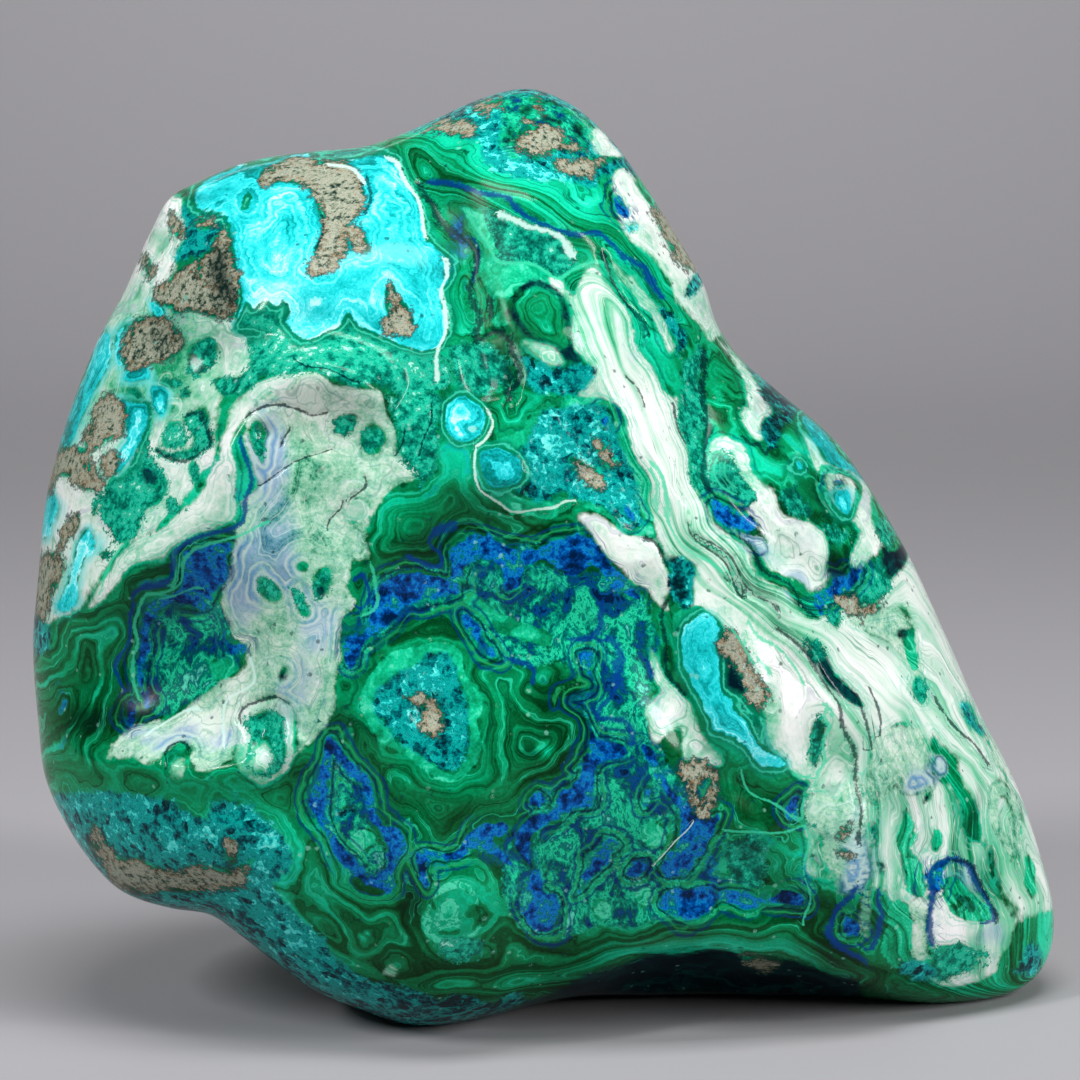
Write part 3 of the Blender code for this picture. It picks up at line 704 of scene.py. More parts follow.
     [(992, 716), (1004, 735), (1012, 760), (1010, 776), (1000, 768), (992, 744)],
     [(988, 790), (999, 780), (1011, 792), (1019, 815), (1022, 842), (1012, 856), (999, 838),
      (990, 814)]),
    ("pale", [(997, 798), (1006, 803), (1011, 826), (1004, 834), (998, 816)]),
    ("mint",
     [(1024, 850), (1032, 866), (1036, 890), (1030, 900), (1024, 880)],
     (912, 650, 7, 19, 0)),
    ("deep", (906, 634, 6, 5, 40)),
    ("mott", (920, 690, 6, 16, 25)),
    ("teal", [(960, 700), (974, 711), (990, 735), (978, 731), (965, 718)]),
    ("band",
     [(928, 732), (936, 736), (948, 752), (960, 772), (970, 790), (978, 812), (982, 838),
      (974, 846), (966, 830), (960, 808), (952, 786), (940, 764), (930, 748)],
     (943, 768, 15, 18, 10)),
    ("veil",
     (941, 767, 9, 12, 10),
     [(900, 776), (920, 768), (932, 780), (932, 796), (918, 796), (905, 790)]),
    ("deep", (928, 803, 3.5, 3.5, 0)),
    ("mint",
     [(900, 812), (910, 820), (915, 850), (913, 886), (906, 882), (905, 850)],
     (932, 840, 6, 11, -10)),
    ("mott", [(800, 798), (818, 806), (836, 812), (822, 819), (804, 824)]),
    ("veil", [(856, 780), (864, 790), (868, 840), (867, 900), (857, 900), (856, 850)]),
    ("deep", (874, 836, 3, 9, 10), (879, 868, 3, 9, 10)),
    # details of the lower right
    ("veil", [(806, 800), (820, 796), (836, 800), (850, 790), (860, 800), (862, 860), (860, 890),
     (852, 900), (842, 896), (834, 880), (826, 858), (818, 836), (808, 818)]),
    ("rock", (846, 832, 4, 5, 0), (844, 850, 5, 4, 0)),
    ("band", [(840, 906), (856, 898), (876, 890), (892, 896), (896, 914), (888, 930), (888, 948),
     (896, 962), (880, 968), (856, 962), (838, 950), (826, 934), (826, 918)]),
    ("azur", (849, 928, 9, 9, 0)),
    ("pale", [(866, 890), (873, 900), (871, 920), (864, 942), (861, 925), (865, 905)]),
    ("mint", [(882, 930), (892, 904), (906, 900), (911, 935), (913, 964), (898, 970), (884, 952)]),
    ("veil", [(910, 902), (926, 900), (928, 940), (926, 962), (914, 960), (912, 930)]),
    ("mint", [(905, 862), (914, 855), (923, 866), (923, 884), (918, 897), (911, 890), (905, 876)]),
    ("azur", [(927, 884), (931, 873), (940, 864), (951, 857), (947, 868), (941, 877), (936, 887),
     (933, 898), (929, 904)]),
    ("mint", [(946, 880), (956, 876), (966, 884), (978, 896), (990, 906), (986, 918), (970, 918),
     (954, 914), (944, 902), (940, 892)]),
    ("mott",
     [(956, 890), (966, 896), (976, 906), (968, 910), (958, 902)],
     (945, 887, 5, 8, 20),
     [(933, 944), (944, 949), (952, 945), (962, 943), (972, 950), (976, 958), (970, 967),
      (956, 973), (944, 979), (933, 976), (931, 962)]),
    ("teal", [(902, 966), (920, 963), (934, 968), (938, 977), (922, 980), (906, 975)]),
    ("mott", (984, 959, 3, 4, 0)),
    ("band", [(866, 964), (886, 970), (900, 982), (920, 989), (950, 990), (975, 984), (992, 974),
     (1002, 958), (1008, 942), (1007, 928), (1020, 918), (1040, 914), (1064, 918), (1070, 940),
     (1060, 970), (1038, 1000), (1000, 1014), (960, 1022), (900, 1018), (874, 1006), (856, 984)]),
    ("teal", [(1026, 948), (1040, 940), (1046, 952), (1038, 968), (1026, 980), (1018, 972)]),
    ("band", [(982, 842), (990, 850), (996, 866), (1004, 884), (1013, 900), (1020, 916),
     (1010, 913), (1000, 897), (991, 880), (984, 860)]),
]

# Bands that run between two curves: (first curve, second curve, how much their level rises from
# the first to the second, region, softness of its edge).
FLOWS = [
    # fan of malachite bands from the top to the right shoulder
    ([(372, 140), (440, 130), (500, 168), (560, 184), (612, 190), (650, 262), (700, 330)],
     [(392, 170), (440, 190), (500, 210), (560, 240), (606, 254), (640, 284), (690, 338)],
     75.0,
     [(384, 140), (430, 134), (500, 176), (560, 184), (610, 184), (640, 250), (704, 334),
      (660, 312), (606, 262), (540, 234), (480, 206), (420, 180)], 10.0),
    # right flank
    ([(560, 320), (612, 420), (646, 500), (690, 580), (758, 640), (828, 714), (858, 800),
      (868, 900), (900, 990)],
     [(640, 300), (690, 460), (712, 520), (776, 585), (860, 610), (982, 717), (1041, 858),
      (1054, 980)],
     260.0,
     [(560, 290), (620, 290), (680, 430), (712, 520), (780, 590), (860, 600), (910, 560),
      (990, 720), (1070, 900), (1040, 1000), (880, 960), (850, 800), (780, 650), (680, 580),
      (640, 500), (600, 400)], 18.0),
    # bands along the bottom
    ([(250, 830), (300, 880), (340, 930), (400, 965), (480, 955), (560, 948), (640, 938),
      (700, 918), (780, 915), (850, 950), (900, 985)],
     [(240, 900), (300, 950), (380, 1000), (480, 990), (560, 985), (640, 958), (700, 950),
      (760, 956), (830, 975), (900, 1010)],
     60.0,
     [(250, 830), (310, 900), (380, 960), (480, 962), (560, 956), (640, 930), (720, 908),
      (800, 918), (880, 960), (920, 1000), (800, 985), (700, 960), (600, 985), (480, 1000),
      (380, 990), (290, 940)], 16.0),
]

# Soft marks: (across, down, half width, half height, turn, amount).
DARKER_AND_SHADE = [
    (905, 800, 40, 50, 20, 0.7), (1000, 820, 30, 60, 20, 0.35), (880, 640, 40, 24, 30, 0.5),
    (840, 750, 24, 50, 10, 0.5), (985, 880, 24, 40, 20, 0.6), (180, 330, 60, 40, 0, 0.8),
    (160, 400, 40, 60, 20, 0.6), (772, 430, 16, 18, 0, 0.8), (720, 556, 80, 16, -40, 0.7),
    (790, 640, 20, 70, 35, 0.6), (222, 272, 14, 36, 0, 1.2), (190, 194, 30, 7, -20, 0.9),
    (654, 866, 26, 26, 0, 0.5), (490, 505, 85, 32, -8, 0.8), (545, 745, 46, 60, 0, 0.7),
    (815, 500, 60, 40, 40, 0.7), (730, 480, 22, 26, 0, 0.8), (840, 560, 22, 26, 0, 0.5),
    (98, 650, 56, 72, 20, 0.4), (756, 820, 46, 66, 0, 0.5), (452, 240, 10, 60, -28, 0.5),
    (505, 350, 36, 46, 0, 0.5), (680, 580, 16, 26, 0, 0.9), (770, 392, 30, 14, 40, 0.8),
    (410, 630, 50, 24, 0, 0.4), (440, 820, 90, 30, -10, 0.4), (725, 400, 24, 46, 0, 0.5),
    # The long flat marks low on the stone, along the lower edges and the underside, are painted
    # shade where the stone turns under.
    (480, 972, 150, 14, 0, 0.4), (700, 990, 190, 26, 0, 0.9), (545, 320, 30, 34, 0, 0.3),
    (680, 700, 18, 80, 25, 0.3), (250, 970, 110, 22, -36, 0.7), (455, 1010, 90, 16, 0, 0.8),
    (420, 545, 50, 26, 0, 0.8), (410, 905, 14, 36, 0, 0.9), (88, 722, 34, 20, 0, 0.9),
    (540, 110, 60, 16, 0, 0.3), (590, 560, 40, 16, 30, 0.3), (790, 410, 26, 18, 40, 0.6),
    (840, 565, 16, 14, 0, 0.7), (830, 940, 40, 40, 0, 0.5), (395, 255, 30, 60, -10, 0.3),
    (960, 895, 20, 16, 0, 0.5), (972, 815, 8, 40, -15, 0.6), (700, 890, 30, 26, 0, 0.3),
]
LIGHTER = [
    (750, 668, 8, 34, 28, 1.0), (90, 806, 26, 8, 0, 0.8), (140, 816, 22, 7, 0, 0.6),
    (194, 836, 24, 9, 20, 0.8), (232, 822, 20, 10, 0, 0.8), (264, 850, 12, 22, -20, 0.9),
    (284, 890, 10, 22, 30, 0.7), (575, 445, 50, 50, 0, 0.6), (625, 505, 20, 20, 0, 0.5),
    (486, 130, 14, 26, 0, 0.9), (525, 168, 34, 9, -20, 1.0), (300, 930, 10, 30, -40, 0.5),
    (180, 436, 12, 12, 0, 0.8), (300, 340, 70, 22, 0, 0.7), (590, 208, 70, 22, -26, 0.7),
    (470, 158, 80, 14, -24, 0.7), (355, 350, 90, 26, 0, 0.2), (300, 855, 40, 60, 30, 0.3),
    (690, 930, 110, 14, 5, 0.2), (640, 330, 20, 50, 25, 0.5), (545, 748, 8, 8, 0, 1.2),
    (275, 265, 26, 44, 0, 0.6), (275, 205, 26, 14, 0, 0.6), (180, 410, 60, 70, 20, 0.4),
    (722, 398, 8, 9, 0, 1.0), (400, 180, 20, 10, 0, 0.6), (340, 300, 40, 14, 0, 0.4),
    (430, 330, 12, 40, 0, 0.5), (740, 745, 50, 16, -38, 0.5),
]
LILAC = [
    (966, 880, 18, 14, -40, 1.0), (988, 936, 14, 20, 0, 0.8), (936, 925, 8, 22, 0, 0.9),
    (268, 458, 24, 50, 5, 1.2), (270, 560, 34, 50, 0, 0.9), (190, 738, 60, 20, 0, 0.8),
    (320, 620, 30, 40, 0, 0.6), (790, 540, 26, 36, 40, 0.5), (860, 860, 24, 50, 0, 0.8),
    (640, 330, 22, 40, 25, 0.5), (650, 550, 20, 14, 30, 0.5), (750, 540, 20, 14, -40, 1.2),
    (680, 232, 22, 26, 0, 0.6), (795, 590, 16, 16, 0, 1.0), (300, 700, 26, 50, 0, 0.6),
    (275, 740, 30, 36, 0, 0.4), (941, 767, 14, 18, 0, 1.4), (916, 782, 20, 16, 0, 0.8),
    (850, 886, 14, 18, 0, 1.0), (655, 715, 10, 30, 0, 0.6), (240, 590, 16, 40, 0, 0.7),
]
# Painted highlight: these marks whiten the pale minerals along ridges, flanks and the left edge
# where the polish glares; the pale colour beneath is the stone's own.
WHITER_AND_GLARE = [
    (950, 934, 22, 8, 0, 0.9), (960, 978, 30, 6, 10, 0.9), (612, 352, 30, 60, 30, 0.3),
    (660, 440, 26, 60, 25, 0.3), (930, 590, 30, 70, 25, 0.9), (1030, 810, 14, 90, 22, 0.8),
    (860, 660, 36, 50, 35, 0.7), (780, 600, 30, 40, 45, 0.5), (212, 470, 24, 80, -35, 0.9),
    (110, 592, 60, 14, 25, 0.8), (275, 384, 50, 12, -20, 0.8), (795, 700, 24, 56, 30, 0.8),
    (620, 545, 60, 14, -35, 0.9), (960, 925, 40, 30, 0, 0.8), (158, 240, 14, 50, -15, 0.9),
    (790, 530, 26, 50, 35, 0.6), (760, 400, 14, 46, 25, 0.9), (680, 250, 14, 60, 30, 0.8),
    (890, 720, 26, 60, 20, 0.4), (860, 520, 14, 50, 20, 0.8), (330, 402, 60, 22, 5, 0.8),
    (64, 500, 24, 40, 0, 0.8), (200, 725, 40, 16, -20, 0.7), (240, 690, 14, 40, 15, 0.7),
    (890, 840, 8, 30, 0, 0.6), (720, 600, 60, 20, -38, 0.6),
]
BLUER = [
    (452, 250, 14, 60, -20, 0.7), (600, 700, 30, 50, 0, 0.4), (420, 856, 40, 14, 0, 0.4),
    (60, 690, 20, 24, 0, 0.4), (690, 880, 30, 30, 0, 0.9), (150, 580, 20, 30, 0, 0.4),
]
# Where the skin is duller.
MATT = [
    (492, 270, 18, 76, -8, 1.0), (455, 235, 20, 50, -25, 0.8), (134, 694, 16, 12, 0, 1.0),
    (516, 348, 16, 22, 0, 0.9), (610, 278, 22, 12, 0, 0.7),
]
# Where the surface sinks in pits; the amount is in metres.
PITS = [
    (429, 713, 18, 20, 0, 0.0007), (268, 742, 16, 32, 0, 0.0012), (511, 384, 7, 20, 0, 0.0009),
    (954, 953, 11, 12, 0, 0.0009), (430, 712, 44, 60, 0, 0.0005), (748, 862, 20, 18, 0, 0.0006),
    (738, 682, 22, 46, 32, 0.0006), (170, 880, 70, 18, -8, 0.0005),
    (336, 222, 20, 40, -20, 0.0004), (196, 292, 36, 24, 0, 0.0004), (398, 314, 12, 18, 0, 0.0003),
    (264, 432, 8, 8, 0, 0.0005), (150, 342, 24, 20, 0, 0.0003), (595, 474, 16, 12, 0, 0.0004),
]

# Single lines, by colour: (half width, points).
LINES = {
    "white": [
        (0.6, [(692, 818), (684, 832), (672, 844), (660, 858), (652, 868)]),
        # These three lines are painted highlight along the shoulder's edge and the crest beside it.
        (2.2, [(386, 160), (398, 167), (408, 182), (418, 204), (428, 236)]),
        (2.0, [(442, 254), (444, 272), (440, 290), (446, 310), (447, 332), (440, 350), (435, 366),
         (434, 382)]),
        (2.8, [(496, 212), (520, 222), (540, 230), (552, 234), (565, 242), (578, 256)]),
        (2.0, [(325, 163), (342, 165), (355, 169), (363, 180)]),
        (1.8, [(485, 406), (490, 422), (487, 440), (478, 449)]),
        (1.0, [(478, 452), (474, 472), (482, 490), (502, 504), (522, 511), (546, 508), (562, 500),
         (576, 499)]),
        (1.6, [(252, 655), (250, 680), (240, 692), (228, 702), (222, 722), (224, 748)]),
        # Painted highlight where the polish glares on the left hollow's wall.
        (1.4, [(152, 735), (170, 719), (190, 712), (200, 710)]),
    ],
    "green": [
        (1.2, [(718, 456), (716, 472), (724, 488), (736, 498)]),
        (1.1, [(726, 462), (728, 476), (738, 490)]),
        (1.8, [(270, 522), (240, 532), (206, 549), (184, 560), (178, 580), (160, 593), (142, 602),
         (134, 625)]),
        (1.4, [(160, 600), (190, 590), (206, 590)]),
        (1.3, [(724, 830), (750, 834), (780, 832), (806, 824)]),
        (1.3, [(744, 770), (750, 790), (770, 800), (790, 812), (806, 826)]),
        (1.4, [(806, 800), (806, 840), (808, 880), (806, 925)]),
        (2.0, [(472, 216), (486, 238), (497, 257), (512, 264), (540, 269), (560, 275), (578, 268),
         (598, 262), (612, 265)]),
        (2.0, [(200, 538), (180, 548), (174, 560), (172, 575), (160, 587), (148, 594), (140, 606),
         (136, 622), (138, 640), (132, 660), (136, 680), (138, 700)]),
        (1.6, [(120, 540), (112, 560), (102, 580), (98, 592)]),
        (1.8, [(370, 565), (378, 580), (380, 600), (372, 612), (360, 618)]),
        (2.0, [(730, 631), (739, 638), (747, 648), (755, 661)]),
        (1.4, [(741, 632), (753, 646), (762, 660), (772, 675)]),
        (1.6, [(746, 618), (760, 631), (776, 647), (790, 665), (802, 688)]),
        (2.0, [(819, 710), (825, 720), (831, 729), (826, 742), (824, 756), (818, 768),
         (814, 782)]),
        (2.0, [(820, 700), (830, 716), (831, 730), (825, 746), (821, 760), (811, 776), (800, 779),
         (788, 773)]),
        (2.2, [(652, 462), (658, 480), (664, 500), (670, 528)]),
        (1.6, [(648, 470), (656, 500), (672, 530), (700, 560), (740, 590)]),
        (1.6, [(700, 540), (722, 556), (735, 575), (720, 572)]),
    ],
    "blue": [
        (3.2, [(931, 942), (929, 915), (928, 892), (933, 874), (944, 862), (953, 858), (966, 866),
         (979, 881), (988, 896), (992, 910), (990, 919), (981, 920)]),
        (2.6, [(856, 900), (840, 907), (829, 920), (828, 934), (838, 947), (852, 955),
         (868, 964)]),
        (2.4, [(880, 890), (882, 910), (877, 930), (872, 950)]),
        (2.6, [(241, 436), (245, 460), (252, 484), (246, 508), (228, 525), (200, 541), (178, 552),
         (168, 572), (150, 589), (130, 600)]),
        (2.8, [(430, 176), (450, 184), (470, 189), (500, 196), (510, 202), (520, 211), (540, 223),
         (560, 231), (580, 237), (597, 238), (610, 245), (630, 261), (650, 279), (668, 297)]),
        (2.6, [(456, 526), (436, 530), (430, 540), (440, 548), (438, 560), (426, 566),
         (408, 558)]),
        (2.6, [(506, 660), (528, 663), (537, 672), (536, 684)]),
        (3.4, [(606, 602), (600, 625), (588, 640), (572, 642)]),
        (3.6, [(600, 640), (613, 636), (621, 650), (620, 668), (613, 690), (602, 702), (602, 716),
         (620, 718), (630, 726), (630, 744)]),
        (2.0, [(210, 528), (190, 545), (175, 552), (168, 570), (165, 580), (150, 584), (140, 590),
         (134, 600), (130, 615), (128, 635), (120, 652), (118, 672), (124, 692)]),
        (2.2, [(352, 578), (362, 574), (368, 580), (372, 590), (368, 602), (358, 610),
         (352, 606)]),
        (3.0, [(858, 892), (846, 902), (834, 910), (827, 922), (828, 934), (838, 946), (852, 955),
         (868, 966)]),
        (2.6, [(882, 890), (881, 914), (874, 940)]),
        (2.6, [(472, 240), (478, 262), (480, 284)]),
    ],
    "dark": [
        (2.4, [(598, 252), (610, 272), (622, 296), (634, 316), (646, 338)]),
        (1.6, [(738, 441), (748, 449), (758, 446), (768, 453), (772, 447), (783, 446)]),
        (1.1, [(752, 388), (764, 393), (778, 403)]),
        (1.2, [(878, 546), (884, 556), (888, 548), (894, 560)]),
        (1.3, [(700, 530), (716, 546), (736, 566), (752, 590)]),
        (1.2, [(690, 520), (706, 548), (726, 570), (742, 600)]),
        (4.4, [(420, 178), (426, 192), (435, 208), (441, 223), (455, 238), (467, 248), (475, 260),
         (479, 276), (476, 292), (472, 304), (478, 320), (474, 332)]),
        (3.0, [(482, 262), (485, 280), (489, 296), (488, 312), (480, 326)]),
        (3.6, [(474, 342), (486, 335), (498, 332), (507, 338), (513, 352), (516, 368), (512, 382),
         (508, 392), (514, 402)]),
        (2.2, [(472, 288), (466, 304), (471, 319), (480, 324), (486, 308), (483, 296)]),
        (3.4, [(705, 350), (706, 368), (702, 385), (701, 400), (705, 415), (706, 430), (704, 445),
         (706, 470), (709, 488), (716, 501)]),
        (1.8, [(738, 538), (752, 552), (768, 568), (784, 584), (800, 600), (818, 616)]),
        (1.1, [(245, 418), (256, 412), (278, 404), (295, 406), (300, 409)]),
        (1.3, [(300, 408), (314, 414), (330, 413)]),
        (1.1, [(330, 448), (310, 456), (290, 465), (270, 478), (258, 486)]),
        (1.1, [(363, 474), (364, 485), (358, 492), (345, 500)]),
        (1.1, [(338, 500), (334, 520), (332, 532)]),
        (1.4, [(290, 428), (284, 440), (281, 448)]),
        (1.2, [(295, 355), (315, 368), (340, 372), (360, 380)]),
        (1.8, [(366, 176), (370, 195), (365, 216)]),
        (1.3, [(320, 212), (323, 232), (319, 250)]),
        (2.0, [(190, 418), (200, 417), (207, 427), (209, 440), (200, 448), (190, 457), (180, 464),
         (170, 458), (161, 448)]),
        (1.8, [(243, 722), (250, 710), (262, 702), (276, 698), (287, 704)]),
        (1.2, [(160, 768), (165, 755), (175, 748), (184, 750), (187, 758)]),
        (2.0, [(640, 542), (656, 551), (666, 566)]),
        (2.2, [(666, 600), (662, 630), (665, 652), (673, 674), (686, 698)]),
        (2.0, [(778, 628), (800, 648), (816, 668), (828, 686), (836, 706), (842, 724), (850, 744),
         (856, 764), (860, 800), (861, 845)]),
        (1.5, [(852, 690), (860, 706), (867, 728), (868, 750)]),
        (1.2, [(866, 684), (874, 700), (880, 722), (880, 738)]),
        (1.4, [(936, 694), (946, 716), (960, 734), (976, 746), (992, 768)]),
        (2.0, [(948, 860), (964, 862), (980, 878), (990, 896), (995, 914), (990, 926)]),
        (1.5, [(720, 578), (745, 592), (765, 603), (780, 612)]),
        (1.2, [(405, 430), (400, 444), (396, 456)]),
        (1.2, [(428, 402), (430, 430), (416, 456)]),
        (1.2, [(626, 376), (640, 392), (646, 410)]),
        (1.3, [(672, 404), (680, 424), (684, 442)]),
    ],
}


def outline_of(shape):
    """A closed line round a shape, which is an oval or a list of points."""
    if isinstance(shape, tuple):
        cx, cy, half_w, half_h, turn = shape
        t = np.linspace(0, 2 * np.pi, OVAL_POINTS)
        c, s = math.cos(math.radians(turn)), math.sin(math.radians(turn))
        a, b = half_w * np.cos(t), half_h * np.sin(t)
        return np.stack([cx + a * c + b * s, cy - a * s + b * c], axis=1)
    line = eased(shape, steps=5, closed=True)
    return np.vstack([line, line[:1]])


def near_line(x, y, line, margin):
    """Which places lie in the box round a line, widened by a margin."""
    low, high = line.min(axis=0) - margin, line.max(axis=0) + margin
    return (x > low[0]) & (x < high[0]) & (y > low[1]) & (y < high[1])


def inside_depth(x, y, line):
    """Distance inside a closed line, negative outside it."""
    nearest = np.full(x.shape, 1e9)
    within = np.zeros(x.shape, bool)
    for (ax, ay), (bx, by) in zip(line[:-1], line[1:]):
        ex, ey = bx - ax, by - ay
        s = np.clip(((x - ax) * ex + (y - ay) * ey) / (ex * ex + ey * ey + 1e-9), 0, 1)
        nearest = np.minimum(nearest, (x - ax - s * ex) ** 2 + (y - ay - s * ey) ** 2)
        if ay != by:
            within ^= ((ay > y) != (by > y)) & (x < ax + (y - ay) * ex / ey)
    nearest = np.sqrt(nearest)
    return np.where(within, nearest, -nearest)


def signed_distance(x, y, line):
    """Distance to an open line, negative on its left, growing fast beyond its ends."""
    nearest, side = np.full(x.shape, 1e9), np.zeros(x.shape)
    last = len(line) - 2
    for i, ((ax, ay), (bx, by)) in enumerate(zip(line[:-1], line[1:])):
        ex, ey = bx - ax, by - ay
        s = ((x - ax) * ex + (y - ay) * ey) / (ex * ex + ey * ey + 1e-9)
        beyond = np.maximum(-s, 0) * (i == 0) + np.maximum(s - 1, 0) * (i == last)
        beyond = beyond * math.hypot(ex, ey)
        s = np.clip(s, 0, 1)
        off = np.hypot(x - ax - s * ex, y - ay - s * ey)
        turned = (x - ax) * ey - (y - ay) * ex
        closer = off < nearest
        side = np.where(closer, np.where(turned < 0, -1, 1) * (off + 2.0 * beyond), side)
        nearest = np.where(closer, off, nearest)
    return side


def patch_fields(x, y):
    """How deep each place lies in every kind, and its distance to the nearest outline."""
    field = {kind: np.full_like(x, FAR_OUTSIDE) for kind in KINDS}
    phase = np.full_like(x, PATCH_MARGIN)
    for kind, *shapes in PATCHES:
        for line in map(outline_of, shapes):
            near = near_line(x, y, line, PATCH_MARGIN)
            depth = inside_depth(x[near], y[near], line)
            for name in KINDS:
                was = field[name][near]
                field[name][near] = (
                    np.maximum(was, depth) if name == kind else np.minimum(was, -depth)
                )
            phase[near] = np.where(depth > 0, depth, np.minimum(phase[near], -depth))
    return field, phase


def line_fields(x, y, group):
    """For a group of lines: the side of the nearest one, and how near it is."""
    side, weight = np.full_like(x, OFF_LINE), np.zeros_like(x)
    for half_width, points in group:
        line = eased(points)
        near = np.flatnonzero(near_line(x, y, line, LINE_MARGIN))
        scaled = signed_distance(x[near], y[near], line) * 2 / half_width
        shown = 1 - smooth_step(np.abs(scaled), 5, 12)
        above = shown > weight[near]
        side[near[above]] = scaled[above]
        weight[near[above]] = shown[above]
    return side, weight


def minerals(x, y):
    """Everything the material needs to know about places on the face."""
    wx, wy = (to + size * waves(x, y, length, seed)
              for to, (size, length, seed) in zip((x, y), OUTLINE_WAVES))
    field, phase = patch_fields(wx, wy)
    calm = np.zeros_like(x)
    for first, second, width, region, soft in FLOWS:
        weight = smooth_step(inside_depth(wx, wy, outline_of(region)), 0, soft)
        near = weight > 0
        a, _, _ = to_line(wx[near], wy[near], eased(first))
        b, _, _ = to_line(wx[near], wy[near], eased(second))
        flow = width * a / (a + b + 1e-6)
        flow += sum(size * waves(x[near], y[near], length, seed)
                    for size, length, seed in FLOW_WAVES)
        phase[near] += weight[near] * (flow - phase[near])
        calm[near] = np.maximum(calm[near], weight[near])
    field["phase"], field["calm"] = phase, calm
    for name, group in LINES.items():
        field[name + "_side"], field[name + "_line"] = line_fields(wx, wy, group)
    field["tone"] = blobs(wx, wy, LIGHTER) - blobs(wx, wy, DARKER_AND_SHADE)
    for name, marks in (("lilac", LILAC), ("whiter_and_glare", WHITER_AND_GLARE), ("bluer", BLUER)):
        field[name] = blobs(wx, wy, marks)
    for name, marks in (("pit", PITS), ("matt", MATT)):
        field[name] = blobs(x, y, marks)
    return field


def softened(values, pairs, rounds):
    """Values at the mesh's points after a few rounds of sharing with their neighbours."""
    count = np.bincount(pairs.ravel(), minlength=len(values)).astype(float)
    for _ in range(rounds):
        total = np.bincount(pairs[:, 0], values[pairs[:, 1]], len(values))
        total += np.bincount(pairs[:, 1], values[pairs[:, 0]], len(values))
        values = 0.4 * values + 0.6 * total / count
    return values


def skin_share(from_front, face):
    """How far out each vertex lies: nothing in the middle of its side, one at the rim."""
    t = np.where(face, from_front / RIM_ANGLE, (np.pi - from_front) / (np.pi - RIM_ANGLE))
    share = np.where(t < EVEN_UNTIL, EVEN_PACE * t, 1 - CLOSING * (1 - t) ** 2)
    return np.clip(share, 0, 1)


def skin_fields(x, y, reach, share, angle, face):
    """The minerals' fields at every vertex: as picked on the face, turned round behind."""
    # Over the rim they run on outwards, so that the back does not mirror the face.
    outward = np.where(face, reach, 2 * RIM_CURVE(angle) - reach)
    drift = angle + np.where(face, 0, RIM_DRIFT * (1 - share) * waves(x, y, 190, 41))
    fields = minerals(FACE_CENTRE[0] + outward * np.cos(drift),
                      FACE_CENTRE[1] - outward * np.sin(drift))
    back = ~face
    c, s = math.cos(BACK_TURN), math.sin(BACK_TURN)
    bx = x[back] - BACK_PIVOT[0] + BACK_DRIFT * waves(x[back], y[back], 330, 51)
    by = y[back] - BACK_PIVOT[1] + BACK_DRIFT * waves(x[back], y[back], 330, 53)
    other = minerals(BACK_LANDING[0] + BACK_SCALE * (-bx * c + by * s),
                     BACK_LANDING[1] + BACK_SCALE * (bx * s + by * c))
    keep = smooth_step(share[back], *KEPT_NEAR_RIM)
    for name, value in fields.items():
        value[back] = keep * value[back] + (1 - keep) * other[name]
    return fields


def fine_relief(x, y, fields):
    """Pits, rough crystal skins and cracks that the polish left, in metres."""
    rough = smooth_step(fields["teal"], -1, 5) + 0.3 * smooth_step(fields["rock"], -1, 4)
    grain = waves(x, y, 11, 31) + 0.8 * waves(x, y, 7, 32)
    fine = -fields["pit"] - GRAIN_RELIEF * rough * (1.0 + np.abs(grain))
    in_crack = 1 - smooth_step(np.abs(fields["dark_side"]), 1, 5)
    fine -= CRACK_DEPTH * fields["dark_line"] * in_crack
    return fine + LONG_WAVE * waves(x, y, 120, 33) + SHORT_WAVE * waves(x, y, 60, 34)


def stone_mesh():
    """The skin of the stone as (places, faces, fields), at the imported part's place."""
    ball, faces = sphere_grid(STEPS)
    from_front = np.arccos(np.clip(-ball[:, 1], -1, 1))
    angle = np.arctan2(ball[:, 2], ball[:, 0])
    face = from_front <= RIM_ANGLE
    share = skin_share(from_front, face)
    broad = BROAD_CURVE(angle)
    reach = share * (broad + (RIM_CURVE(angle) - broad) * share**4)
    x = FACE_CENTRE[0] + reach * np.cos(angle)
    y = FACE_CENTRE[1] - reach * np.sin(angle)

    middle = MIDDLE_SHIFT + (SET_BACK(angle) - MIDDLE_SHIFT) * share**2
    fullness = FULLNESS + FULLNESS_SWING * np.cos(angle - FULLEST_AT)
    low = smooth_step(-np.sin(angle) * 1.6 - 0.5, 0, 1)
    heel = FULLNESS + (HEEL_FULLNESS - FULLNESS) * low
    dome = np.sqrt(np.clip(1 - share ** np.where(face, fullness, heel), 0, 1))

    fields = skin_fields(x, y, reach, share, angle, face)
    corners = np.array(faces)
    pairs = np.vstack([corners[:, [0, 1]], corners[:, [1, 2]]])
    fields["phase"] = softened(fields["phase"], pairs, 8)

    fade = 1 - share**8
    fine = fade * fine_relief(x, y, fields)
    front = FRONT_DEPTH * dome + fade * relief(x, y, FACE_LUMPS, FACE_LINES)
    front = front + (1 - share**24) * undercut(x, y) + fine
    rear = BACK_DEPTH * dome + fade * relief(x, y, BACK_LUMPS, BACK_LINES) + fine
    front = np.maximum(front, THINNEST * dome)
    depth = middle + np.where(face, -front, rear)

    # The camera's perspective is taken out, so that places show where they were picked.
    across = (x - SQUARE_CENTRE[0]) * TENTH
    up = (SQUARE_CENTRE[1] - y) * TENTH
    grow = 1 + depth / APEX_DISTANCE
    place = np.empty((len(ball), 3))
    place[:, 0] = across * grow + PART_SHIFT[0]
    place[:, 1] = up * grow * math.sin(TILT) + depth * math.cos(TILT) + PART_SHIFT[1]
    place[:, 2] = BASE_DROP + up * grow * math.cos(TILT) - depth * math.sin(TILT)
    place[:, 2] = np.where(place[:, 2] < BASE_ALLOWANCE, 0.0, place[:, 2])
    low_corner, high_corner = (np.array(c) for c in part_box("polished_stone"))
    return np.clip(place, low_corner, high_corner), faces, fields


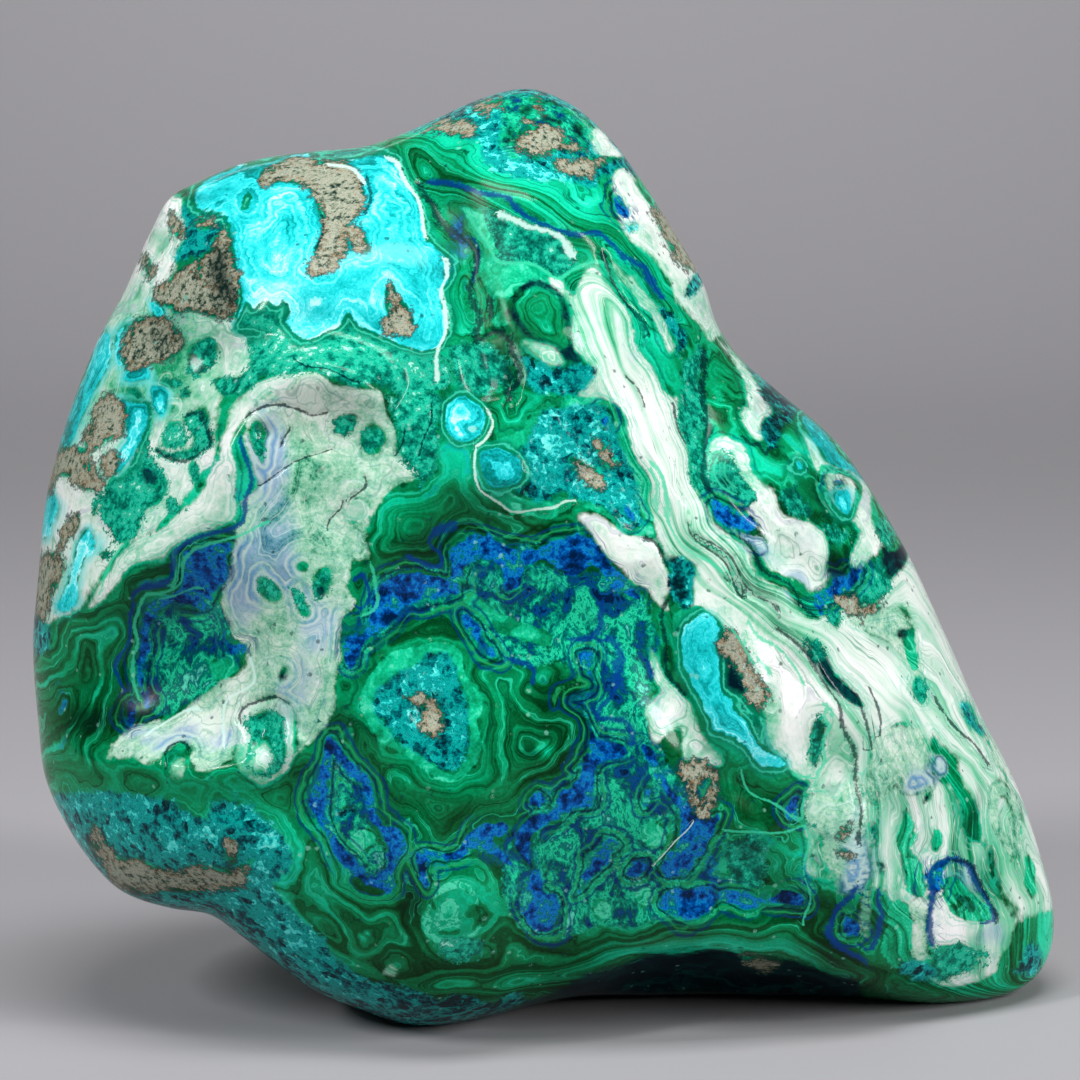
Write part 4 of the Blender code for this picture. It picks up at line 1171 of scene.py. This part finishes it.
# ---------------------------------------------------------------------------------------------
# Materials
# ---------------------------------------------------------------------------------------------
# Noises of the place in millimetres: (scale, detail, roughness).
NOISES = {
    "swirl": (0.11, 2.0, 0.5), "ripple": (0.30, 2.0, 0.5), "fine": (0.95, 2.0, 0.5),
    "ragged": (0.9, 4.0, 0.74), "grain": (3.6, 2.0, 0.7), "broad": (0.09, 1.0, 0.5),
    "clouds": (0.55, 4.0, 0.72), "dust": (1.9, 3.0, 0.78), "pool": (0.22, 1.0, 0.5),
    "pebbles": (1.5, 3.0, 0.80),
}
SHARED_FIELDS = ("tone", "bluer", "whiter_and_glare", "calm", "lilac", "matt")
# A mineral's level: sources by weight, noises swinging round nothing, and a plain offset.
LEVELS = {
    "malachite": ({"wide": 0.42, "thin": 0.58, "tone": 0.13}, {"grain": 0.08, "ragged": 0.08},
                  0.0),
    "mott": ({"ragged": 1.0, "tone": 0.10}, {"swirl": 0.2}, 0.0),
    "mint": ({"thin": 0.8, "ragged": 0.2}, {"grain": 0.10}, 0.0),
    "azur": ({"clouds": 1.0, "tone": 0.06}, {"thin": 0.20}, 0.0),
    "clot": ({"tangle": 0.9, "thin": 0.2, "tone": 0.05, "bluer": -0.07},
             {"swirl": 0.2, "grain": 0.08}, -0.04),
    # The pale and veil levels rise with the painted highlight marks, which whiten them where the
    # polish glares.
    "pale": ({"streams": 0.84, "whiter_and_glare": 0.13, "tone": 0.10}, {"broad": 0.35, "ripple": 0.12},
             0.07),
    "pale lilac": ({"streams": 1.0}, {}, 0.0),
    "veil": ({"streams": 0.40, "ragged": 0.42, "thin": 0.18, "whiter_and_glare": 0.16, "tone": 0.08},
             {"grain": 0.12, "ripple": 0.16}, 0.0),
    "veil lilac": ({"streams": 0.5, "ragged": 0.3, "thin": 0.2}, {}, 0.0),
    "deep": ({"tangle": 0.6, "thin": 0.4}, {}, 0.0),
    "cyan": ({"contour": 0.55, "pool": 0.25, "ragged": 0.20, "tone": 0.1}, {"grain": 0.10},
             -0.015),
    "teal": ({"crystals": 0.24, "dust": 0.64, "bubbles": 0.16, "tone": 0.11}, {"ripple": 0.26},
             0.01),
    "rock": ({"pebbles": 1.0, "tone": 0.09}, {"swirl": 0.15}, 0.0),
}
# Colours along each mineral's own level: (level, screen colour).
RAMPS = {
    "malachite": [
        (0.30, (0, 46, 14)), (0.37, (2, 80, 38)), (0.43, (4, 108, 62)),
        (0.49, (4, 138, 86)), (0.54, (6, 168, 120)), (0.60, (10, 200, 154)),
        (0.69, (34, 220, 182)), (0.80, (130, 238, 214)),
    ],
    "mott": [
        (0.33, (0, 70, 58)), (0.42, (4, 106, 88)), (0.48, (10, 136, 112)),
        (0.53, (14, 168, 134)), (0.58, (44, 196, 162)), (0.62, (10, 146, 116)),
        (0.68, (110, 218, 188)), (0.76, (206, 240, 228)),
    ],
    "mint": [
        (0.36, (0, 96, 56)), (0.43, (6, 138, 92)), (0.49, (12, 168, 118)),
        (0.54, (20, 194, 144)), (0.60, (84, 222, 180)), (0.64, (8, 166, 120)),
    ],
    "azur": [
        (0.37, (0, 28, 62)), (0.43, (0, 50, 112)), (0.475, (2, 74, 148)),
        (0.515, (4, 98, 178)), (0.55, (14, 132, 198)), (0.58, (2, 88, 128)),
        (0.62, (8, 134, 108)), (0.70, (60, 200, 178)),
    ],
    "clot": [
        (0.36, (0, 28, 60)), (0.41, (2, 76, 136)), (0.445, (0, 64, 74)),
        (0.48, (2, 112, 98)), (0.515, (8, 156, 122)), (0.555, (36, 212, 160)),
        (0.58, (2, 132, 104)), (0.62, (0, 104, 108)), (0.68, (90, 224, 190)),
    ],
    "pale": [
        (0.28, (6, 116, 74)), (0.34, (40, 156, 110)), (0.40, (104, 190, 150)),
        (0.46, (152, 206, 178)), (0.52, (190, 218, 202)), (0.58, (214, 228, 218)),
        (0.66, (232, 237, 232)), (0.76, (250, 250, 249)),
    ],
    "pale lilac": [
        (0.32, (20, 84, 108)), (0.41, (84, 142, 158)), (0.48, (124, 166, 184)),
        (0.54, (156, 186, 192)), (0.60, (132, 168, 188)), (0.72, (190, 216, 214)),
    ],
    "veil": [
        (0.34, (14, 100, 72)), (0.39, (58, 148, 112)), (0.44, (116, 184, 150)),
        (0.50, (152, 204, 174)), (0.56, (184, 216, 194)), (0.64, (222, 234, 222)),
    ],
    "veil lilac": [
        (0.34, (20, 84, 124)), (0.41, (84, 136, 168)), (0.47, (122, 160, 190)),
        (0.53, (158, 178, 204)), (0.58, (116, 154, 186)), (0.68, (196, 214, 218)),
    ],
    "deep": [
        (0.38, (0, 14, 22)), (0.46, (1, 26, 36)), (0.52, (2, 44, 50)),
        (0.58, (4, 70, 66)), (0.64, (2, 34, 66)), (0.72, (24, 122, 110)),
    ],
    "cyan": [
        (0.34, (4, 120, 112)), (0.40, (10, 160, 160)), (0.46, (24, 198, 200)),
        (0.52, (60, 222, 226)), (0.57, (120, 242, 244)), (0.63, (190, 252, 252)),
    ],
    "teal": [
        (0.37, (0, 36, 44)), (0.43, (0, 72, 80)), (0.48, (0, 108, 112)),
        (0.53, (2, 142, 136)), (0.58, (14, 176, 164)), (0.62, (0, 118, 120)),
        (0.69, (40, 208, 200)), (0.80, (120, 236, 226)),
    ],
    "rock": [
        (0.35, (20, 46, 40)), (0.41, (84, 98, 82)), (0.45, (128, 136, 116)),
        (0.51, (150, 158, 140)), (0.57, (174, 178, 160)), (0.61, (142, 126, 100)),
        (0.66, (120, 146, 136)), (0.76, (206, 212, 198)),
    ],
}
# Lines drawn where a noise or a depth is at a level: (level, half width, strength, colour).
BAND_LINES = [(0.600, 0.022, 0.55, (44, 208, 164)), (0.410, 0.024, 0.70, (0, 46, 20))]
WIDE_BAND_LINE = (0.500, 0.012, 0.60, (0, 46, 24))
BUSY_THREADS = [(0.60, 0.030, 0.65, (40, 148, 112)), (0.41, 0.024, 0.40, (40, 100, 96))]
CALM_THREADS = [(0.50, 0.022, 0.5, (236, 244, 238)), (0.545, 0.014, 0.45, (170, 170, 192))]
LILAC_THREAD = (0.55, 0.022, 0.6, (30, 92, 112))
VEIL_THREADS = [(0.60, 0.020, 0.45, (60, 128, 116)), (0.44, 0.018, 0.45, (206, 230, 222))]
VEIL_CELLS = [(0.42, 0.05, 0.5, (88, 166, 138)), (0.30, 0.05, 0.35, (206, 232, 214))]
VEIL_CONTOURS = [
    (1.0, 2.2, 0.85, (0, 96, 104)), (5.0, 2.6, 0.7, (190, 218, 206)),
    (9.0, 2.0, 0.8, (92, 146, 192)), (12.5, 2.0, 0.6, (206, 222, 214)),
    (16.0, 1.6, 0.6, (132, 160, 196)), (22.0, 1.6, 0.5, (206, 222, 214)),
    (27.0, 1.4, 0.5, (118, 168, 176)),
]
CYAN_CONTOUR = (0.54, 0.014, 0.55, (14, 168, 178))
CYAN_RIM = (-5.0, 1.8, 0.7, (60, 210, 176))
BESIDE_AZURITE = [
    (-4.0, 2.4, 0.8, (0, 18, 40)), (-8.0, 1.8, 0.8, (30, 156, 92)),
    (-12.5, 2.4, 0.8, (2, 50, 104)),
]
MOTTLED_RIM = (2.4, 2.4, 0.6, (0, 70, 54))
PALE_RIMS = [
    (-5.5, 2.2, 0.6, (0, 72, 58)), (-1.5, 2.0, 0.8, (20, 176, 140)),
    (3.0, 1.6, 0.6, (70, 190, 160)), (8.0, 1.4, 0.4, (140, 204, 190)),
]
ROCK_RUST = (3.0, 3.4, 0.7, (136, 104, 70))
ROCK_RIM = (0.6, 1.6, 0.75, (16, 36, 30))
# Single lines over everything: (kind, colour, strength, raggedness).
DRAWN_LINES = [
    ("green", (56, 204, 158), 0.75, 5.0), ("blue", (3, 58, 130), 0.85, 5.0),
    # The white lines are partly painted highlight.
    ("white", (206, 240, 230), 0.8, 5.0), ("dark", (2, 34, 44), 0.80, 9.0),
]
SMOOTH_EDGED = ("pale", "veil", "cyan", "azur", "mint")
# How far a kind fades at its edge, in tenths of a millimetre, where that isn't one.
SOFTNESS = {"azur": 1.5, "clot": 3.0, "teal": 3.0, "deep": 3.0, "pale": 2.6, "veil": 1.8}
POLISHED_ROUGHNESS = 0.12
STONE_IOR = 1.50
STONE_SPECULAR_LEVEL = 0.10
MILLIMETRES = 1000.0


def rgb(red, green, blue):
    """Screen colour values from 0 to 255 as the linear colour a shader takes."""
    out = []
    for value in (red, green, blue):
        v = value / 255
        out.append(v / 12.92 if v <= 0.04045 else ((v + 0.055) / 1.055) ** 2.4)
    return (*out, 1.0)


class Graph:
    """Short names for the node work."""

    def __init__(self, name):
        self.material = bpy.data.materials.new(name)
        self.material.use_nodes = True
        self.nodes = self.material.node_tree.nodes
        self.links = self.material.node_tree.links
        self.shader = self.nodes["Principled BSDF"]

    def feed(self, socket, value):
        if isinstance(value, bpy.types.NodeSocket):
            self.links.new(value, socket)
        elif value is not None:
            socket.default_value = value

    def math(self, operation, a, b=None, clamp=False):
        node = self.nodes.new("ShaderNodeMath")
        node.operation = operation
        node.use_clamp = clamp
        self.feed(node.inputs[0], a)
        self.feed(node.inputs[1], b)
        return node.outputs[0]

    def add(self, *values):
        total = values[0]
        for value in values[1:]:
            total = self.math("ADD", total, value)
        return total

    def times(self, *values):
        product = values[0]
        for value in values[1:]:
            product = self.math("MULTIPLY", product, value)
        return product

    def step(self, value, low, high, top=1.0):
        """Nothing at low, top at high; low may lie above high."""
        node = self.nodes.new("ShaderNodeMapRange")
        node.interpolation_type = "SMOOTHSTEP"
        self.feed(node.inputs["Value"], value)
        self.feed(node.inputs["From Min"], low)
        self.feed(node.inputs["From Max"], high)
        node.inputs["To Max"].default_value = top
        return node.outputs["Result"]

    def ring(self, value, centre, half_width):
        """One where value is at centre, falling to nothing half a width away."""
        away = self.math("ABSOLUTE", self.math("SUBTRACT", value, centre))
        return self.step(away, half_width, 0.0)

    def field(self, name):
        node = self.nodes.new("ShaderNodeAttribute")
        node.attribute_name = name
        return node.outputs["Fac"]

    def vector(self, operation, a, b=None, scale=None):
        node = self.nodes.new("ShaderNodeVectorMath")
        node.operation = operation
        self.feed(node.inputs[0], a)
        self.feed(node.inputs[1], b)
        if scale is not None:
            node.inputs["Scale"].default_value = scale
        return node.outputs["Vector"]

    def join(self, x, y, z=0.0):
        node = self.nodes.new("ShaderNodeCombineXYZ")
        for socket, value in zip(node.inputs, (x, y, z)):
            self.feed(socket, value)
        return node.outputs["Vector"]

    def split(self, vector):
        node = self.nodes.new("ShaderNodeSeparateXYZ")
        self.feed(node.inputs["Vector"], vector)
        return node.outputs

    def noise(self, place, scale, detail, roughness=0.5, distortion=0.0):
        node = self.nodes.new("ShaderNodeTexNoise")
        self.feed(node.inputs["Vector"], place)
        node.inputs["Scale"].default_value = scale
        node.inputs["Detail"].default_value = detail
        node.inputs["Roughness"].default_value = roughness
        node.inputs["Distortion"].default_value = distortion
        return node.outputs["Fac"]

    def cells(self, place, scale):
        """Distance to the nearest cell's middle, and three random values for that cell."""
        node = self.nodes.new("ShaderNodeTexVoronoi")
        self.feed(node.inputs["Vector"], place)
        node.inputs["Scale"].default_value = scale
        return (node.outputs["Distance"], *self.split(node.outputs["Color"]))

    def ramp(self, value, stops):
        node = self.nodes.new("ShaderNodeValToRGB")
        marks = node.color_ramp.elements
        for i, (at, colour) in enumerate(stops):
            mark = marks[i] if i < 2 else marks.new(at)
            mark.position = at
            mark.color = rgb(*colour)
        self.feed(node.inputs["Fac"], value)
        return node.outputs["Color"]

    def mix(self, share, a, b):
        node = self.nodes.new("ShaderNodeMix")
        node.data_type = "RGBA"
        self.feed(node.inputs["Factor"], share)
        self.feed(node.inputs["A"], a)
        self.feed(node.inputs["B"], b)
        return node.outputs["Result"]

    def traced(self, colour, value, line, *shown):
        """Colour with a line where value is at its level, as far as each of shown lets it."""
        level, half_width, strength, paint = line
        share = self.times(self.ring(value, level, half_width), *shown, strength)
        return self.mix(share, colour, rgb(*paint))


class StoneGraph(Graph):
    """The stone's material, with the noises and fields that its minerals share, by name."""

    def __init__(self):
        super().__init__("polished_azurite_malachite")
        coordinates = self.nodes.new("ShaderNodeTexCoord").outputs["Object"]
        self.place = self.vector("SCALE", coordinates, scale=MILLIMETRES)
        self.at = {name: self.noise(self.place, *law) for name, law in NOISES.items()}
        self.at["tangle"] = self.noise(self.vector("MULTIPLY", self.place, (1.0, 0.8, 0.75)),
                                       0.46, 5.0, 0.68, 0.45)
        self.at.update({name: self.field(name) for name in KINDS + SHARED_FIELDS})
        self.depths = {}

        # Outlines: a smooth wander for banded minerals, a ragged one for granular ones.
        self.smooth_edge = self.sway(ripple=12.0, fine=5.0, ragged=7.0)
        self.ragged_edge = self.sway(ripple=10.0, ragged=22.0, grain=3.0)

        # Bands follow the outlines: distance across them in millimetres, slowly drifting along.
        height = self.split(self.place)["Z"]
        phase = self.times(self.field("phase"), 0.1)
        rippling = self.add(2.2, self.times(self.at["calm"], -1.5))
        across = self.add(phase, self.sway(swirl=2.6, fine=0.35, ripple=rippling))
        self.along = self.times(height, 0.05)
        self.at["wide"] = self.noise(self.join(across, self.along), 0.34, 1.0)
        self.at["thin"] = self.noise(self.join(across, self.along, 9.0), 1.55, 3.0, 0.60)

        # The pale minerals flow more broadly, with single threads between.
        across = self.add(phase, self.sway(swirl=5.0, ripple=1.6))
        streams = self.join(across, self.times(height, 0.09), 3.0)
        threads = self.join(across, self.times(height, 0.06), 21.0)
        self.at["streams"] = self.noise(streams, 0.42, 3.0)
        self.at["threads"] = self.noise(threads, 1.3, 1.0)
        lilac = self.add(self.at["lilac"], self.sway(ripple=1.4))
        self.lilac_share = self.step(lilac, 0.25, 1.0, 0.80)
        on_pale = self.math("MAXIMUM", self.at["pale"], self.at["veil"])
        self.off_pale = self.step(on_pale, 3.0, -3.0)

    def sway(self, **amounts):
        """A sum of noises, each swinging by its amount round nothing."""
        return self.add(*(self.times(self.math("SUBTRACT", self.at[name], 0.5), amount)
                          for name, amount in amounts.items()))

    def paint(self, name, *more):
        """A mineral's colours along its own level."""
        whole, swinging, offset = LEVELS[name]
        terms = [self.times(self.at[source], weight) for source, weight in whole.items()]
        if swinging:
            terms.append(self.sway(**swinging))
        return self.ramp(self.add(*terms, offset, *more), RAMPS[name])

    def all_traced(self, colour, value, lines, *shown):
        for line in lines:
            colour = self.traced(colour, value, line, *shown)
        return colour

    def wandering(self, amount):
        """The place, pushed about unevenly by up to an amount in millimetres."""
        push = self.vector("SCALE", self.join(self.at["fine"], self.at["ripple"]), scale=amount)
        return self.vector("ADD", self.place, push)

    def banded_malachite(self):
        to_azurite = self.add(self.at["azur"], self.sway(ripple=10.0))
        belt = self.times(self.step(to_azurite, -34.0, -14.0), self.step(to_azurite, 2.0, -8.0))
        colour = self.paint("malachite", self.times(belt, -0.05))
        colour = self.all_traced(colour, self.at["thin"], BAND_LINES)
        return self.traced(colour, self.at["wide"], WIDE_BAND_LINE)

    def pale_flow(self):
        """Pale flow bands: mint, white and lilac with thin green lines."""
        raggedness = self.add(0.42, self.times(self.at["calm"], -0.34))
        colour = self.paint("pale", self.sway(ragged=raggedness))
        # Threads run only here and there; between them the stone is calm.
        # Fewer threads under the painted highlight, where it whitens the stone.
        busy = self.add(self.at["broad"], self.times(self.at["whiter_and_glare"], -0.12),
                        self.times(self.at["tone"], -0.05))
        threads = self.at["threads"]
        colour = self.all_traced(colour, threads, BUSY_THREADS, self.step(busy, 0.40, 0.58))
        colour = self.all_traced(colour, threads, CALM_THREADS)
        lilac = self.traced(self.paint("pale lilac"), threads, LILAC_THREAD)
        return self.mix(self.lilac_share, colour, lilac)

    def veil(self):
        """Finely mottled grey-green, calmer than the flow bands, with rounded cells."""
        colour = self.mix(self.lilac_share, self.paint("veil"), self.paint("veil lilac"))
        colour = self.all_traced(colour, self.at["threads"], VEIL_THREADS)
        cells = self.cells(self.wandering(3.0), 0.33)[0]
        colour = self.all_traced(colour, cells, VEIL_CELLS, self.step(self.lilac_share, 0.6, 0.1))
        # Contour lines follow its outline: pale, lilac, blue. Outside the lilac they are faint.
        inside = self.add(self.at["veil"], self.sway(ripple=14.0, fine=5.0, swirl=10.0))
        for level, half_width, strength, line_colour in VEIL_CONTOURS:
            shown = self.add(self.times(self.lilac_share, strength), 0.12)
            colour = self.traced(colour, inside, (level, half_width, 1.0, line_colour), shown)
        return colour

    def cyan_chrysocolla(self):
        """Cyan with fine pale contour lines that follow its outline."""
        inside = self.add(self.at["cyan"], self.smooth_edge)
        across = self.add(self.times(inside, 0.1), self.sway(swirl=2.5, ripple=1.6, fine=0.5))
        contour = self.noise(self.join(across, self.along, 5.0), 1.7, 3.0, 0.6)
        self.at["contour"] = contour
        return self.traced(self.paint("cyan"), contour, CYAN_CONTOUR)

    def granular_teal(self):
        self.at["bubbles"], self.at["crystals"], _, _ = self.cells(self.wandering(1.5), 0.95)
        return self.paint("teal")

    def edge(self, kind):
        """How the outline of a kind wanders."""
        if kind in SMOOTH_EDGED:
            return self.smooth_edge
        if kind == "mott":
            return self.add(self.ragged_edge, self.sway(dust=24.0))
        return self.times(self.ragged_edge, {"deep": 0.6, "rock": 1.5}.get(kind, 1.0))

    def beside_azurite(self, colour, depth):
        """Blue bands near it, and fine lines beside it: black, green, blue."""
        near = self.times(self.step(depth, -15.0, -6.0), self.ring(self.at["thin"], 0.47, 0.040))
        colour = self.mix(self.times(near, 0.7), colour, rgb(4, 66, 120))
        beside = self.add(self.at["azur"], self.sway(ripple=12.0, fine=6.0))
        here_and_there = self.step(self.at["swirl"], 0.36, 0.50)
        return self.all_traced(colour, beside, BESIDE_AZURITE, here_and_there, self.off_pale)

    def beside_cyan(self, colour, depth):
        """A green border, bright at its rim, or a soft pale one inside the pale minerals."""
        border = self.times(self.step(depth, -13.0, -5.0, 0.8), self.off_pale)
        colour = self.mix(border, colour, rgb(2, 116, 84))
        colour = self.traced(colour, depth, CYAN_RIM, self.off_pale)
        on_pale = self.math("SUBTRACT", 0.8, self.off_pale, clamp=True)
        border = self.times(self.step(depth, -9.0, 0.0), on_pale)
        return self.mix(border, colour, rgb(96, 214, 210))

    def laid_out(self):
        """Every kind in its place over the banded malachite."""
        azurite = self.paint("azur")
        paints = {
            "pale": self.pale_flow(), "veil": self.veil(), "mott": self.paint("mott"),
            "clot": self.paint("clot"), "mint": self.paint("mint"), "azur": azurite,
            "deep": self.paint("deep"), "teal": self.granular_teal(),
            "cyan": self.cyan_chrysocolla(), "rock": self.paint("rock"),
        }
        bluer = self.add(self.at["bluer"], self.sway(ripple=1.6, thin=2.2))
        colour = self.mix(self.step(bluer, 0.40, 1.0, 0.85), self.banded_malachite(), azurite)
        for name, paint in paints.items():
            depth = self.depths[name] = self.add(self.at[name], self.edge(name))
            if name == "azur":  # it frays into the bands around it
                depth = self.add(depth, self.sway(thin=14.0, tangle=16.0), -0.5)
                colour = self.beside_azurite(colour, depth)
            if name == "cyan":
                colour = self.beside_cyan(colour, depth)
            if name == "rock":
                colour = self.mix(self.step(depth, -4.5, -1.5, 0.75), colour, rgb(6, 66, 60))
            soft = SOFTNESS.get(name, 1.0)
            colour = self.mix(self.step(depth, -soft, soft), colour, paint)
            if name == "mott":
                colour = self.traced(colour, depth, MOTTLED_RIM)
            if name == "pale":
                patchy = self.step(self.at["swirl"], 0.44, 0.56)
                colour = self.all_traced(colour, depth, PALE_RIMS, patchy)
            if name == "rock":
                rusty = self.step(self.at["dust"], 0.44, 0.54)
                colour = self.traced(colour, depth, ROCK_RUST, rusty)
                colour = self.traced(colour, depth, ROCK_RIM)
        return colour

    def lined(self, colour):
        """Single lines, each of which swells, thins out and breaks up along its way."""
        for name, paint, strength, raggedness in DRAWN_LINES:
            side = self.add(self.field(name + "_side"), self.sway(fine=2.6))
            reach = self.add(self.math("ABSOLUTE", side), self.sway(ragged=raggedness, grain=2.4))
            line = self.times(self.step(reach, 2.9, 0.8),
                              self.step(self.field(name + "_line"), 0.25, 0.75))
            colour = self.mix(self.times(line, strength), colour, rgb(*paint))
        return colour

    def flecked(self, colour):
        """Small flecks, pale in one place and dark in another."""
        distance, bright, picked, _ = self.cells(self.place, 1.15)
        fleck = self.step(self.add(distance, self.sway(ragged=0.9)), 0.30, 0.12)
        fleck = self.times(fleck, self.step(picked, 0.74, 0.80),
                           self.step(self.at["clouds"], 0.44, 0.52))
        bright = self.step(self.add(bright, self.sway(swirl=1.6)), 0.42, 0.58)
        colour = self.mix(self.times(fleck, bright, 0.4), colour, rgb(150, 232, 210))
        dark = self.math("SUBTRACT", 0.7, bright, clamp=True)
        return self.mix(self.times(fleck, dark), colour, rgb(2, 56, 56))

    def roughness(self):
        """The polish, dulled where the stone is granular, pitted or dark."""
        dull = self.times(self.step(self.depths["teal"], 0, 4), 0.08)
        for more in (self.times(self.step(self.depths["rock"], 0, 3), 0.22),
                     self.times(self.step(self.depths["clot"], 0, 6), 0.10),
                     self.times(self.step(self.at["tone"], -0.1, -0.8), 0.10)):
            dull = self.math("MAXIMUM", dull, more)
        return self.add(POLISHED_ROUGHNESS, dull, self.times(self.at["matt"], 0.40),
                        self.sway(grain=0.08))


def stone_material():
    g = StoneGraph()
    colour = g.flecked(g.lined(g.laid_out()))
    # Where the tone is lowest the colour turns dark green; along the underside and the lower edges
    # this is painted shade.
    colour = g.mix(g.step(g.at["tone"], -0.35, -1.3, 0.75), colour, rgb(1, 26, 22))
    g.feed(g.shader.inputs["Base Color"], colour)
    g.feed(g.shader.inputs["Roughness"], g.roughness())
    g.shader.inputs["IOR"].default_value = STONE_IOR
    g.shader.inputs["Specular IOR Level"].default_value = STONE_SPECULAR_LEVEL
    return g.material


# ---------------------------------------------------------------------------------------------
# The stone
# ---------------------------------------------------------------------------------------------
def add_object(name, data):
    ob = bpy.data.objects.new(name, data)
    bpy.context.scene.collection.objects.link(ob)
    return ob


def build_stone():
    places, faces, fields = stone_mesh()
    mesh = bpy.data.meshes.new("stone_skin")
    mesh.from_pydata(places.tolist(), [], faces)
    for name, values in fields.items():
        layer = mesh.attributes.new(name, "FLOAT", "POINT")
        layer.data.foreach_set("value", values.astype(np.float32))
    mesh.shade_smooth()
    mesh.materials.append(stone_material())
    stone = add_object("stone_skin", mesh)
    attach(stone, "root")
    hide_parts("polished_stone")


# ---------------------------------------------------------------------------------------------
# Floor, light and camera, in metres and watts
# ---------------------------------------------------------------------------------------------
FLOOR_COLOUR = rgb(160, 158, 162)
FLOOR_ROUGHNESS = 0.7
FLOOR_HALF_WIDTH = 3.0
FLOOR_FRONT = -3.6
BEND_START = 0.75
BEND_RADIUS = 0.45
BEND_PIECES = 12
BACKDROP_HEIGHT = 1.6
STONE_MIDDLE = (0, 0, 0.045)
BACKDROP_FOOT = (0, 1.12, 0.10)
# Soft lights: (name, place, size, power, what it is aimed at).
SOFTBOXES = [
    ("overhead", (0.02, -0.10, 0.62), (0.36, 0.16), 2.7, STONE_MIDDLE),
    ("front_left", (-0.52, -0.40, 0.58), (0.06, 0.30), 4.2, STONE_MIDDLE),
    ("right", (0.62, -0.36, 0.36), (0.08, 0.44), 4.4, STONE_MIDDLE),
    ("backdrop", (0.0, 0.90, 0.60), (1.00, 0.30), 2.4, BACKDROP_FOOT),
]
SKY_COLOUR = rgb(205, 206, 210)
SKY_STRENGTH = 0.08
SENSOR_WIDTH = 36.0  # millimetres
LENS = 110.0
NEAREST_SEEN = 0.01


def build_floor():
    """A pale floor that sweeps up into a backdrop."""
    profile = [(FLOOR_FRONT, 0.0), (0.0, 0.0)]
    for i in range(BEND_PIECES + 1):
        turn = math.pi / 2 * i / BEND_PIECES
        profile.append((BEND_START + BEND_RADIUS * math.sin(turn),
                        BEND_RADIUS * (1 - math.cos(turn))))
    profile.append((BEND_START + BEND_RADIUS, BACKDROP_HEIGHT))
    verts = [(side, y, z) for y, z in profile for side in (-FLOOR_HALF_WIDTH, FLOOR_HALF_WIDTH)]
    quads = [(2 * i, 2 * i + 1, 2 * i + 3, 2 * i + 2) for i in range(len(profile) - 1)]
    mesh = bpy.data.meshes.new("floor")
    mesh.from_pydata(verts, [], quads)
    mesh.shade_smooth()
    g = Graph("pale_floor")
    g.shader.inputs["Base Color"].default_value = FLOOR_COLOUR
    g.shader.inputs["Roughness"].default_value = FLOOR_ROUGHNESS
    mesh.materials.append(g.material)
    add_object("floor", mesh)


def aim(ob, target):
    way = Vector(target) - ob.location
    ob.rotation_euler = way.to_track_quat("-Z", "Y").to_euler()


def build_lights():
    for name, place, size, power, target in SOFTBOXES:
        light = bpy.data.lights.new(name, "AREA")
        light.shape = "RECTANGLE"
        light.size, light.size_y = size
        light.energy = power
        ob = add_object(name, light)
        ob.location = place
        aim(ob, target)
    world = bpy.data.worlds.new("studio")
    world.use_nodes = True
    sky = world.node_tree.nodes["Background"].inputs
    sky["Color"].default_value = SKY_COLOUR
    sky["Strength"].default_value = SKY_STRENGTH
    bpy.context.scene.world = world
    bpy.context.scene.view_settings.view_transform = "Standard"


def build_camera():
    """The photo's view: a little from above, as far off as the shape's perspective says."""
    data = bpy.data.cameras.new("camera")
    data.sensor_width = SENSOR_WIDTH
    data.lens = LENS
    data.clip_start = NEAREST_SEEN
    camera = add_object("camera", data)
    centre = Vector((PART_SHIFT[0], PART_SHIFT[1], BASE_DROP))
    away = Vector((0.0, -math.cos(TILT), math.sin(TILT)))
    camera.location = centre + away * APEX_DISTANCE
    aim(camera, centre)
    bpy.context.scene.camera = camera


build_stone()
build_floor()
build_lights()
build_camera()
